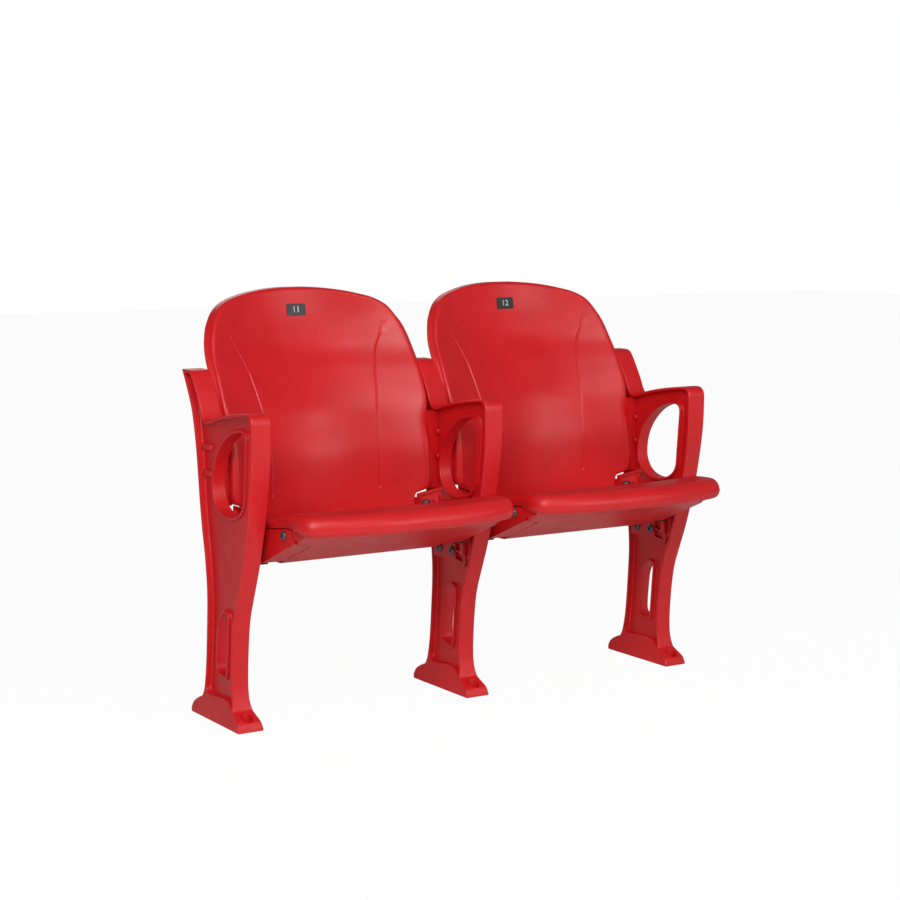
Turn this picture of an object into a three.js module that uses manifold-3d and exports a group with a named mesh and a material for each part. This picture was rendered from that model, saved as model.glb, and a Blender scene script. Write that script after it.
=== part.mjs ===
// A row of two tip-up stadium seats on three floor standards, in moulded red plastic.
// Lengths are millimetres: x runs along the row, y towards the back and z up.
// The origin is the centre of the middle foot's underside.

import * as THREE from 'three';
import { mergeVertices } from 'three/addons/utils/BufferGeometryUtils.js';
import Module from 'manifold-3d';

const wasm = await Module();
wasm.setup();

// The row and the standards
const seatPitch = 500;
const standardHeight = 659;
const standardDepth = 292;
const armrestOverhang = 57;
const footLength = 205;
const footWidth = 53.5;
const columnWidth = 35;
const seatLevelWidth = 38.6;
const armrestWidth = 42;
const webThickness = 12;
const flangeThickness = 6;
const collarWidth = 27;
const collarRim = 5.5;
const footHoleRadius = 6;
const footCounterbore = 11.75;
const footCounterboreDepth = 14;

// The backrests
const backTop = 806;
const backGap = 29;
const cutoutGap = 3;
const backSag = 61;
const backThickness = 28;
const backRim = 6;
const backRoll = 20;
const backFlare = 6;
const lugReach = 28;
const ribHeight = 12;
const ribReach = 7;

// The seat pans
const panGap = 24;
const panDepth = 368;
const panBehindPivot = 57;
const panRise = 66;
const panSkin = 12;
const lipRoll = 45;
const keelWeld = 0.5;

// The hinges
const bracketOffset = 32;
const bracketReach = 225;
const bracketWall = 4.5;
const bracketFlange = 47;
const bossRadius = 22;
const flangeSheet = 5;
const armThickness = 5;
const armReach = 61;
const armGap = 22;
const armRib = 4;
const seatReach = 21;
const topBoltX = 53;
const pivotRadius = 7;
const pinGroove = 1;
const pinTail = 2.5;
const bushWall = 2.7;
const bushFlange = 3;
const bushCollar = 1.3;
const blockThickness = 10.7;
const blockCrown = 31;
const recessDepth = 7;
const finWidth = 9;
const finReach = 28;
const tabNear = 21;
const padNear = 22;
const padFar = 46;
const padThickness = 3;
const clipThickness = 1.6;
const clipWall = 2.7;
const clipMouth = 5;

// The fixings
const boltRadius = 3;
const boltHead = 9;
const boltHeadHeight = 5;
const spotDepth = 1.2;
const backBoltHead = 6;
const backBoltLength = 22;
const bearingBoltLength = 16;
const sideBoltLength = 26;
const topBoltLength = 30;

// The number plates
const plateWidth = 42;
const plateHeight = 24;
const plateThickness = 1;
const plateShare = 0.888;

// Clearances
const clearance = 0.3;
const runningGap = 0.6;
const overrun = 5;

// Facets
const roundSides = 12;
const boltSides = 8;
const curveSteps = 2;
const panelColumns = 8;

const axisX = new THREE.Vector3(1, 0, 0);
const axisY = new THREE.Vector3(0, 1, 0);
const axisZ = new THREE.Vector3(0, 0, 1);

function solidOf(geometry) {
  const bare = geometry.clone();
  bare.deleteAttribute('normal');
  bare.deleteAttribute('uv');
  const merged = mergeVertices(bare);
  const mesh = new wasm.Mesh({
    numProp: 3,
    vertProperties: merged.attributes.position.array,
    triVerts: new Uint32Array(merged.index.array),
  });
  return new wasm.Manifold(mesh);
}

function geometryOf(solid) {
  const mesh = solid.getMesh();
  const geometry = new THREE.BufferGeometry();
  geometry.setAttribute('position', new THREE.BufferAttribute(mesh.vertProperties, mesh.numProp));
  geometry.setIndex(new THREE.BufferAttribute(mesh.triVerts, 1));
  geometry.computeVertexNormals();
  return geometry;
}

// The same solid on the other side of x = 0
function mirrored(solid) {
  const geometry = geometryOf(solid);
  geometry.scale(-1, 1, 1);
  geometry.index.array.reverse();
  return solidOf(geometry);
}

function moved(solid, offset) {
  const geometry = geometryOf(solid);
  geometry.translate(offset.x, offset.y, offset.z);
  return solidOf(geometry);
}

function joined(first, ...others) {
  return others.reduce((whole, solid) => whole.add(solid), first);
}

function cut(first, ...others) {
  return others.reduce((whole, solid) => whole.subtract(solid), first);
}

function slab(points, depth, turn, offset) {
  const shape = new THREE.Shape(points);
  const geometry = new THREE.ExtrudeGeometry(shape, { depth, bevelEnabled: false });
  geometry.applyMatrix4(turn);
  geometry.translate(offset.x, offset.y, offset.z);
  return solidOf(geometry);
}

// An outline in the side view, (y, z), as thick as the stretch of x given.
const sideTurn = new THREE.Matrix4().makeBasis(axisY, axisZ, axisX);
function sideSlab(points, fromX, toX) {
  return slab(points, toX - fromX, sideTurn, new THREE.Vector3(fromX, 0, 0));
}

// An outline in the front view, (x, z), as thick as the stretch of y given.
const frontTurn = new THREE.Matrix4().makeBasis(axisX, axisZ, axisY.clone().negate());
function frontSlab(points, fromY, toY) {
  return slab(points, toY - fromY, frontTurn, new THREE.Vector3(0, toY, 0));
}

// An outline in the plan view, (x, y), as thick as the stretch of z given.
function planSlab(points, fromZ, toZ) {
  return slab(points, toZ - fromZ, new THREE.Matrix4(), new THREE.Vector3(0, 0, fromZ));
}

// A turned piece on an axis: its profile is pairs of radius and distance along the axis.
function turned(axis, profile, centre, sides) {
  const points = profile.map(([radius, along]) => new THREE.Vector2(radius, along));
  const geometry = new THREE.LatheGeometry(points, sides);
  const quaternion = new THREE.Quaternion().setFromUnitVectors(axisY, axis);
  geometry.applyQuaternion(quaternion);
  geometry.translate(centre.x, centre.y, centre.z);
  const solid = solidOf(geometry);
  if (solid.volume() > 0) return solid;
  geometry.index.array.reverse();
  return solidOf(geometry);
}

function rod(axis, radius, centre, from, to, sides = roundSides) {
  return turned(axis, [[0, from], [radius, from], [radius, to], [0, to]], centre, sides);
}

function block(fromX, toX, fromY, toY, fromZ, toZ) {
  const geometry = new THREE.BoxGeometry(toX - fromX, toY - fromY, toZ - fromZ);
  geometry.translate((fromX + toX) / 2, (fromY + toY) / 2, (fromZ + toZ) / 2);
  return solidOf(geometry);
}

// A closed outline moved inwards (or outwards, for a negative distance).
function inset(points, distance) {
  const inward = Math.sign(THREE.ShapeUtils.area(points));
  const count = points.length;
  return points.map((point, i) => {
    const before = points[(i + count - 1) % count];
    const after = points[(i + 1) % count];
    const first = point.clone().sub(before).normalize();
    const second = after.clone().sub(point).normalize();
    const along = first.add(second).normalize();
    const share = Math.max(Math.abs(along.dot(second)), Math.SQRT1_2);
    const square = new THREE.Vector2(-along.y, along.x);
    return square.multiplyScalar(inward * distance / share).add(point);
  });
}

// A soft curve through the places given, ends included.
function curveThrough(points, steps = curveSteps) {
  return new THREE.SplineCurve(points).getPoints(steps * (points.length - 1));
}

function closedCurveThrough(points, steps = curveSteps) {
  const spatial = points.map((point) => new THREE.Vector3(point.x, point.y, 0));
  const curve = new THREE.CatmullRomCurve3(spatial, true, 'centripetal');
  const around = curve.getPoints(steps * points.length).slice(0, -1);
  return around.map((point) => new THREE.Vector2(point.x, point.y));
}

// The height of a curve at a place along it.
function heightOn(curve, along) {
  const last = curve.length - 1;
  const found = curve.findIndex((point) => point.x >= along);
  const i = found < 0 ? last : Math.max(found, 1);
  const share = (along - curve[i - 1].x) / (curve[i].x - curve[i - 1].x);
  return THREE.MathUtils.lerp(curve[i - 1].y, curve[i].y, share);
}

// The side view of the standard: shares of its depth and height.
const standardFront = -footLength / 2 - armrestOverhang;
function sidePoint([yShare, zShare]) {
  return new THREE.Vector2(standardFront + standardDepth * yShare, standardHeight * zShare);
}
const frontHeelShares = [[0.318, 0.063], [0.312, 0.050], [0.247, 0.036], [0.211, 0.024], [0.195, 0]];
const soleShares = [[0.195, 0], [0.897, 0]];
const rearHeelShares = [[0.897, 0], [0.890, 0.023], [0.849, 0.042], [0.771, 0.056], [0.762, 0.073]];
const rearEdgeShares = [
  [0.762, 0.073], [0.731, 0.135], [0.705, 0.255], [0.694, 0.36], [0.712, 0.458], [0.747, 0.543],
  [0.774, 0.630], [0.798, 0.744], [0.815, 0.800], [0.858, 0.885], [0.921, 0.941], [1, 1],
];
const uprightShares = [
  [1, 1], [0.928, 0.999], [0.884, 0.998], [0.853, 0.989], [0.796, 0.953], [0.740, 0.912],
  [0.697, 0.874], [0.668, 0.8625], [0.654, 0.860],
];
const armrestShares = [
  [0.654, 0.860], [0.579, 0.868], [0.432, 0.883], [0.289, 0.894], [0.149, 0.902], [0.039, 0.905],
  [0.012, 0.901], [0, 0.891], [0, 0.880],
];
const frontEdgeShares = [
  [0, 0.880], [0.009, 0.781], [0.034, 0.698], [0.086, 0.586], [0.163, 0.469], [0.241, 0.379],
  [0.296, 0.317], [0.322, 0.258], [0.339, 0.170], [0.342, 0.111], [0.318, 0.063],
];
const outlineStretchesShares = [
  soleShares, rearHeelShares, rearEdgeShares, uprightShares, armrestShares, frontEdgeShares,
  frontHeelShares,
];
const standardOutline = outlineStretchesShares.flatMap((shares) => shares.slice(1).map(sidePoint));

const armHoleShares = [
  [0.144, 0.827], [0.161, 0.842], [0.202, 0.845], [0.305, 0.839], [0.401, 0.824], [0.514, 0.781],
  [0.586, 0.736], [0.613, 0.680], [0.586, 0.637], [0.521, 0.613], [0.418, 0.602], [0.298, 0.607],
  [0.212, 0.627], [0.175, 0.649],
];
const slotShares = [
  [0.425, 0.308], [0.442, 0.219], [0.459, 0.144], [0.479, 0.137], [0.541, 0.143], [0.579, 0.152],
  [0.582, 0.206], [0.565, 0.266], [0.531, 0.303], [0.486, 0.320], [0.442, 0.323],
];
const armHole = closedCurveThrough(armHoleShares.map(sidePoint));
const slot = closedCurveThrough(slotShares.map(sidePoint), 1);

const archShares = [
  [0.25, 0.03], [0.30, 0.046], [0.38, 0.070], [0.47, 0.076], [0.6, 0.072], [0.8, 0.066],
];
const archTopShares = [[1, 1], [0, 1]];
const widthShares = [0, 0.006, 0.076, 0.38, 0.5, 0.67, 0.865, 1];
const widths = [
  footWidth, footWidth, columnWidth, columnWidth, columnWidth,
  seatLevelWidth, armrestWidth, armrestWidth,
];
const ribShares = [0.709, 0.7845];
const ribFrontShare = 0.644;
const footHoleShares = [0.254, 0.841];
const footHoleTopShare = 0.036;
const backBoltShares = [0.660, 0.747];

// The pivot, in the same shares
const pivotShares = [0.565, 0.534];
const pivot = sidePoint(pivotShares);

// Places on the hinge: shares of the bracket's reach ahead of the pivot and of the pan's rise over it
function bracketPoint([forwardShare, upShare]) {
  return new THREE.Vector2(pivot.x - bracketReach * forwardShare, pivot.y + panRise * upShare);
}
function heightOver(upShare) {
  return bracketPoint([0, upShare]).y;
}

// Places on the bearing block: shares of the standard's depth, and of the pan's rise over the pivot
function blockPoint([yShare, upShare]) {
  return new THREE.Vector2(sidePoint([yShare, 0]).x, heightOver(upShare));
}
const bearingBoltShares = [[0.430, -0.992], [0.589, -1.003]];
const bearingBolts = bearingBoltShares.map(blockPoint);

function acrossAt(point, x = 0) {
  return new THREE.Vector3(x, point.x, point.y);
}

const channel = inset(standardOutline, flangeThickness);
const channelFit = inset(standardOutline, flangeThickness + clearance);
const webHalf = webThickness / 2;
const collarHalf = collarWidth / 2;
const armrestHalf = armrestWidth / 2;
const standardRear = standardFront + standardDepth;

// The outside of the rear flange at a height
const rearEdge = rearEdgeShares.map(sidePoint);
const rearByHeight = rearEdge.map((point) => new THREE.Vector2(point.y, point.x));
function flangeRear(z) {
  return heightOn(rearByHeight, z);
}

const blockFace = webHalf + clearance + blockThickness;
const backBoltX = webHalf + clearance + ribReach;

function standardBlank() {
  const profile = sideSlab(standardOutline, -footWidth, footWidth);
  const rightSide = widths.map(
    (width, i) => new THREE.Vector2(width / 2, standardHeight * widthShares[i]),
  );
  const leftSide = rightSide.map((point) => new THREE.Vector2(-point.x, point.y)).reverse();
  const front = frontSlab([...rightSide, ...leftSide], standardFront - overrun, standardRear + overrun);
  const arch = [...curveThrough(archShares.map(sidePoint)), ...archTopShares.map(sidePoint)];
  let body = profile.intersect(front);
  for (const side of [-1, 1]) {
    const [from, to] = [side * webHalf, side * footWidth].sort((a, b) => a - b);
    const pocket = sideSlab(channel, from, to).intersect(sideSlab(arch, from, to));
    const spared = joined(
      sideSlab(inset(armHole, -collarRim), -collarHalf, collarHalf),
      sideSlab(inset(slot, -collarRim), -collarHalf, collarHalf),
      ...ribs(),
    );
    body = body.subtract(pocket.subtract(spared));
  }
  body = cut(body, sideSlab(armHole, -footWidth, footWidth), sideSlab(slot, -footWidth, footWidth));
  for (const share of footHoleShares) {
    const centre = new THREE.Vector3(0, standardFront + standardDepth * share, 0);
    const top = standardHeight * footHoleTopShare;
    const seat = top - footCounterboreDepth;
    body = body.subtract(rod(axisZ, footHoleRadius, centre, -overrun, top, boltSides));
    body = body.subtract(rod(axisZ, footCounterbore, centre, seat, top + footCounterbore));
  }
  return body;
}

// The two short ribs on each face of the upright, round-ended at the front
function ribs() {
  const reach = webHalf + ribReach;
  return ribShares.flatMap((share) => {
    const nose = sidePoint([ribFrontShare, share]);
    const rear = flangeRear(nose.y) - flangeThickness / 2;
    const radius = ribHeight / 2;
    return [
      rod(axisX, radius, acrossAt(nose), -reach, reach, boltSides),
      block(-reach, reach, nose.x, rear, nose.y - radius, nose.y + radius),
    ];
  });
}

const blank = standardBlank();

// The holes for the fixings on the sides of a standard that carry a seat
function standardSolid(sides) {
  let body = blank;
  for (const side of sides) {
    const out = axisX.clone().multiplyScalar(side);
    for (const place of bearingBolts) {
      const end = blockFace - bearingBoltLength;
      const outside = webHalf + overrun;
      const hole = rod(out, boltRadius + clearance, acrossAt(place), end, outside, boltSides);
      body = body.subtract(hole);
    }
    for (const share of backBoltShares) {
      const z = standardHeight * share;
      const rear = flangeRear(z);
      const centre = new THREE.Vector3(side * backBoltX, rear, z);
      const inside = -flangeThickness - overrun;
      const through = rod(axisY, boltRadius + clearance, centre, inside, overrun, boltSides);
      const spotface = rod(axisY, backBoltHead + runningGap, centre, -spotDepth, overrun, boltSides);
      body = cut(body, through, spotface);
    }
  }
  return body;
}

// A closed panel: a grid of rows on each face, joined round the edge by the rings between them.
// Each layer is a function of the row and of the share across it, from -1 to 1.
function panel(layers, rowCount, columns) {
  const positions = [];
  const indices = [];
  const top = rowCount - 1;
  const vertex = (layer, row, column) => {
    const point = layer(row, 2 * column / columns - 1);
    positions.push(point.x, point.y, point.z);
    return positions.length / 3 - 1;
  };
  const rim = [];
  for (let column = 0; column < columns; column += 1) rim.push([0, column]);
  for (let row = 0; row < top; row += 1) rim.push([row, columns]);
  for (let column = columns; column > 0; column -= 1) rim.push([top, column]);
  for (let row = top; row > 0; row -= 1) rim.push([row, 0]);
  const face = (layer, turnedOver) => {
    const grid = [];
    for (let row = 0; row <= top; row += 1) {
      const inRow = Array.from({ length: columns + 1 }, (_, column) => vertex(layer, row, column));
      grid.push(inRow);
    }
    for (let row = 0; row < top; row += 1) {
      for (let column = 0; column < columns; column += 1) {
        const [a, b] = [grid[row][column], grid[row][column + 1]];
        const [c, d] = [grid[row + 1][column + 1], grid[row + 1][column]];
        indices.push(...(turnedOver ? [a, c, b, a, d, c] : [a, b, c, a, c, d]));
      }
    }
    return rim.map(([row, column]) => grid[row][column]);
  };
  const loops = layers.map((layer, i) => {
    if (i === 0) return face(layer, false);
    if (i === layers.length - 1) return face(layer, true);
    return rim.map(([row, column]) => vertex(layer, row, column));
  });
  for (let i = 1; i < loops.length; i += 1) {
    rim.forEach((_, j) => {
      const next = (j + 1) % rim.length;
      const [a, b, c, d] = [loops[i - 1][j], loops[i - 1][next], loops[i][next], loops[i][j]];
      indices.push(a, c, b, a, d, c);
    });
  }
  const geometry = new THREE.BufferGeometry();
  geometry.setAttribute('position', new THREE.Float32BufferAttribute(positions, 3));
  geometry.setIndex(indices);
  const solid = solidOf(geometry);
  if (solid.volume() > 0) return solid;
  geometry.setIndex(indices.reverse());
  return solidOf(geometry);
}

// The outward direction at each point of a half outline
function normals(points) {
  return points.map((point, i) => {
    const before = points[Math.max(i - 1, 0)];
    const after = points[Math.min(i + 1, points.length - 1)];
    const along = after.clone().sub(before).normalize();
    return new THREE.Vector2(along.y, -along.x);
  });
}

// Heights on the backrest: shares of the way from the lugs' foot to its top
const lugFrontShare = 0.668;
const lugLowShare = 0.6115;
const lugHighShare = 0.850;
function backHeight(share) {
  return THREE.MathUtils.lerp(standardHeight * lugLowShare, backTop, share);
}

// The backrest's half outline. Below the lugs it is cut out for the bracket's arm: shares of the
// width left there and of the standard's height. Above, shares of its half width and of its height,
// and how much of the large side roll it has there.
const backHalfWidth = seatPitch / 2 - backGap;
const cutoutHalfWidth = seatPitch / 2 - armReach - cutoutGap;
const cutoutShares = [
  [0.832, 0.5076], [0.903, 0.5094], [0.962, 0.5149], [0.991, 0.5259], [1, 0.5443], [1, 0.5907],
  [1.006, 0.6048],
];
const backOutlineShares = [
  [0.865, 0, 0.3], [0.910, 0.002, 1], [0.965, 0.006, 1], [0.995, 0.022, 1], [1, 0.060, 1],
  [1, 0.210, 1], [1.002, 0.320, 0.9], [1.007, 0.400, 0.3], [1.008, 0.450, 0], [1.002, 0.558, 0],
  [1.000, 0.632, 0], [0.996, 0.710, 0], [0.981, 0.776, 0], [0.947, 0.836, 0], [0.858, 0.906, 0],
  [0.741, 0.943, 0], [0.600, 0.965, 0], [0.459, 0.982, 0], [0.271, 0.994, 0], [0.110, 1, 0],
];
const cutoutSide = cutoutShares.map(
  ([across, up]) => new THREE.Vector2(cutoutHalfWidth * across, standardHeight * up),
);
const upperSide = backOutlineShares.map(
  ([across, up]) => new THREE.Vector2(backHalfWidth * across, backHeight(up)),
);
const backSide = [...cutoutSide, ...upperSide];
const backRollShares = [...cutoutShares.map(() => 0), ...backOutlineShares.map(([, , roll]) => roll)];
const backNormals = normals(backSide);

// The backrest's front on its centreline: shares of its height, then of the standard's depth
const backProfileShares = [
  [-0.200, 0.795], [0, 0.7965], [0.146, 0.801], [0.218, 0.810], [0.312, 0.839], [0.430, 0.887],
  [0.594, 0.999], [0.704, 1.086], [0.814, 1.137], [0.886, 1.161], [1, 1.182],
];
const backProfile = curveThrough(backProfileShares.map(
  ([up, back]) => new THREE.Vector2(backHeight(up), standardFront + standardDepth * back),
));
function backFront(x, z) {
  return heightOn(backProfile, z) - backSag * (x / backHalfWidth) ** 2;
}

// The rim flares out to the rear, from nothing at the lugs' foot to all of it at their top.
function flareAt(z) {
  const low = standardHeight * lugLowShare;
  return backFlare * THREE.MathUtils.smoothstep(z, low, standardHeight * lugHighShare);
}

// The face of the backrest, and its edge after some of the quarter turn from the face to the rear
const quarterTurn = Math.PI / 2;
function backLayer(turn) {
  return (row, across) => {
    const normal = backNormals[row];
    const roll = backRim + (backRoll - backRim) * backRollShares[row] * Math.max(normal.x, 0);
    const drawnIn = 1 - Math.sin(turn);
    const halfWidth = backSide[row].x - roll * drawnIn * normal.x;
    const z = backSide[row].y - backRim * drawnIn * normal.y;
    const x = across * halfWidth;
    const edge = Math.abs(across) === 1 ? roll : backRim;
    return new THREE.Vector3(x, backFront(x, z) + edge * (1 - Math.cos(turn)), z);
  };
}


// The lugs that lie in the standards' channels behind the sitter, notched round the ribs
function lugs() {
  const inner = seatPitch / 2 - webHalf - clearance;
  const corners = [
    [lugFrontShare, lugLowShare], [1, lugLowShare], [1, lugHighShare], [lugFrontShare, lugHighShare],
  ];
  const room = sideSlab(corners.map(sidePoint), inner - lugReach, inner);
  let lug = room.intersect(sideSlab(channelFit, inner - lugReach, inner));
  const reach = ribReach + clearance;
  for (const share of ribShares) {
    const nose = sidePoint([ribFrontShare, share]);
    const radius = ribHeight / 2 + runningGap;
    lug = cut(
      lug,
      block(inner - reach, inner + overrun, nose.x, standardRear, nose.y - radius, nose.y + radius),
    );
  }
  for (const share of backBoltShares) {
    const z = standardHeight * share;
    const rear = flangeRear(z);
    const centre = new THREE.Vector3(seatPitch / 2 - backBoltX, rear, z);
    const end = -backBoltLength - overrun;
    lug = cut(lug, rod(axisY, boltRadius + clearance, centre, end, overrun, boltSides));
  }
  return [lug, mirrored(lug)];
}

function backrestSolid() {
  const layers = [
    backLayer(0),
    backLayer(quarterTurn / 2),
    backLayer(quarterTurn),
    (row, across) => {
      const { x: halfWidth, y: z } = backSide[row];
      const spread = flareAt(z) * Math.max(backNormals[row].x, 0);
      const x = across * (halfWidth + spread);
      return new THREE.Vector3(x, backFront(x, z) + backThickness, z);
    },
  ];
  return joined(panel(layers, backSide.length, panelColumns), ...lugs());
}

// The seat pan's half outline from front to rear: shares of its half width, its depth, and the heights
// over the pivot of its crest, its parting line and its lower edge, and how far the crest and the
// lower edge are drawn in.
const panShares = [
  [0.110, 0, 1.020, 0.700, 0.470, 1, 0.18], [0.354, 0.005, 1.020, 0.700, 0.470, 1, 0.18],
  [0.531, 0.018, 1.020, 0.710, 0.470, 0.98, 0.20], [0.708, 0.035, 1.020, 0.720, 0.470, 0.93, 0.28],
  [0.841, 0.060, 1.020, 0.735, 0.475, 0.85, 0.40], [0.929, 0.090, 1.020, 0.750, 0.480, 0.72, 0.50],
  [0.978, 0.122, 1.020, 0.765, 0.485, 0.60, 0.52], [1, 0.158, 1.020, 0.775, 0.500, 0.50, 0.45],
  [1, 0.204, 1.020, 0.785, 0.540, 0.42, 0.30], [0.989, 0.266, 1.015, 0.800, 0.600, 0.36, 0.12],
  [0.980, 0.334, 0.965, 0.770, 0.567, 0.31, 0.07], [0.971, 0.467, 0.785, 0.610, 0.462, 0.31, 0.07],
  [0.965, 0.606, 0.572, 0.480, 0.354, 0.28, 0.07], [0.960, 0.715, 0.427, 0.350, 0.273, 0.25, 0.07],
  [0.954, 0.791, 0.325, 0.270, 0.212, 0.20, 0.07], [0.942, 0.823, 0.280, 0.235, 0.182, 0.18, 0.07],
  [0.907, 0.852, 0.245, 0.200, 0.150, 0.18, 0.07], [0.841, 0.875, 0.210, 0.165, 0.110, 0.18, 0.07],
  [0.752, 0.900, 0.180, 0.130, 0.080, 0.18, 0.07], [0.619, 0.932, 0.135, 0.090, 0.040, 0.18, 0.07],
  [0.442, 0.965, 0.100, 0.050, 0, 0.18, 0.07], [0.265, 0.988, 0.080, 0.030, -0.020, 0.18, 0.07],
  [0.110, 1, 0.075, 0.020, -0.030, 0.18, 0.07],
];
const panHalfWidth = seatPitch / 2 - panGap;
const panRearY = pivot.x + panBehindPivot;
function panPoint([alongShare, upShare]) {
  return new THREE.Vector2(panRearY - panDepth * (1 - alongShare), pivot.y + panRise * upShare);
}
const panRows = panShares.map(([across, along, crest, part, low, draw, tuck]) => ({
  side: new THREE.Vector2(panHalfWidth * across, panPoint([along, 0]).x),
  crest: panPoint([along, crest]).y,
  part: panPoint([along, part]).y,
  low: panPoint([along, low]).y,
  draw: lipRoll * draw,
  tuck: lipRoll * tuck,
}));
const panNormals = normals(panRows.map((row) => row.side));

// The middle of the dish, from front to rear
const dishShares = [
  [0.12, 1.02], [0.204, 1.01], [0.27, 0.96], [0.334, 0.87], [0.467, 0.66], [0.606, 0.44],
  [0.715, 0.27], [0.823, 0.14], [0.932, 0.08], [1, 0.07],
];
const dish = curveThrough(dishShares.map(panPoint));
const dishPower = 2.4;

function panPlace(row, across, drawnIn, z) {
  const { side } = panRows[row];
  const x = across * (side.x - drawnIn * panNormals[row].x);
  return new THREE.Vector3(x, side.y - drawnIn * panNormals[row].y, z);
}

function panTop(row, across) {
  const place = panPlace(row, across, panRows[row].draw, panRows[row].crest);
  const middle = Math.min(heightOn(dish, Math.max(place.y, dish[0].x)), place.z);
  place.z = THREE.MathUtils.lerp(middle, place.z, Math.abs(across) ** dishPower);
  return place;
}

function panUpperRoll(turn) {
  return (row, across) => {
    const { draw, crest, part } = panRows[row];
    const top = panTop(row, across).z;
    const drop = (crest - part) * (1 - Math.cos(turn));
    return panPlace(row, across, draw * (1 - Math.sin(turn)), top - drop);
  };
}

function panLowerRoll(turn) {
  return (row, across) => {
    const { tuck, part, low } = panRows[row];
    return panPlace(row, across, tuck * (1 - Math.cos(turn)), part - (part - low) * Math.sin(turn));
  };
}

function panUnderside(row, across) {
  const place = panLowerRoll(quarterTurn)(row, across);
  const inner = heightOn(dish, Math.max(place.y, dish[0].x)) - panSkin;
  const onRim = Math.abs(across) === 1 || row === 0 || row === panRows.length - 1;
  if (!onRim) place.z = Math.min(place.z, inner);
  return place;
}

// The bracket's side view
const bracketFrontShares = [[0.925, 0.58], [0.942, 0.455], [0.964, 0.318], [0.982, 0.250], [1, 0.227]];
const bracketLowerShares = [[1, 0.227], [0.431, -0.591], [0.213, -0.591], [0.089, -0.41]];
const bracketTopRows = [10, 15];
const bossTurns = [-125, -90, -55, -20, 15].map(THREE.MathUtils.degToRad);

function bossPoint(turn, radius) {
  return new THREE.Vector2(Math.cos(turn), Math.sin(turn)).multiplyScalar(radius).add(pivot);
}

// The bracket's outline, with its top edge raised by the height given
function bracketOutline(raised) {
  const top = panRows.slice(...bracketTopRows).reverse().map(
    (row) => new THREE.Vector2(row.side.y, row.low - clearance + raised),
  );
  return [
    ...bracketFrontShares.map(bracketPoint),
    ...bracketLowerShares.slice(1).map(bracketPoint),
    ...bossTurns.map((turn) => bossPoint(turn, bossRadius)),
    ...top,
  ];
}

// The bracket's bottom flange in the side view: its lower edge, and the same raised by its thickness
function flangeBand(thickness, below) {
  const lower = bracketLowerShares.slice(0, 3).map(bracketPoint);
  const raised = lower.map((point) => new THREE.Vector2(point.x, point.y + thickness)).reverse();
  const dropped = lower.map((point) => new THREE.Vector2(point.x, point.y - below));
  return [...dropped, ...raised];
}

// In plan, all that lies behind the flange's slanted front edge
const flangeTipShare = 0.862;
function behindFlangeTip(near, far, forward) {
  const outer = bracketPoint([1, 0]).x - forward;
  const inner = bracketPoint([flangeTipShare, 0]).x - forward;
  return [
    new THREE.Vector2(near, outer), new THREE.Vector2(far, inner),
    new THREE.Vector2(far, panRearY), new THREE.Vector2(near, panRearY),
  ];
}

const flangeInner = bracketOffset + bracketFlange;
const wallInner = bracketOffset + bracketWall;
const bossStart = blockFace + clearance + bushCollar + clearance;
const sideBoltShares = [0.807, 0.364];
const topBoltShares = [-0.0067, 0.425];
const sideBolt = bracketPoint(sideBoltShares);
const topBolt = bracketPoint(topBoltShares);

function fromStandard(distance) {
  return seatPitch / 2 - distance;
}

// The keel's underside, front to rear, and its wide part's, in the bracket's shares
const keelLowerShares = [
  [1.182, 0.5], [1, 0.227], [0.347, -0.712], [0.036, -0.712], [-0.187, -0.485], [-0.196, -0.18],
];
const shoulderLowerShares = [[1.182, 0.5], [1, 0.227], [0.431, -0.591], [0.107, -0.5]];
const shoulderTopRows = [7, 15];
const topBoltBossShares = [-0.16, 0.2];

function panShell() {
  const layers = [
    panTop,
    panUpperRoll(quarterTurn / 2),
    panUpperRoll(quarterTurn),
    panLowerRoll(quarterTurn / 2),
    panUnderside,
  ];
  return panel(layers, panRows.length, panelColumns);
}

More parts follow.
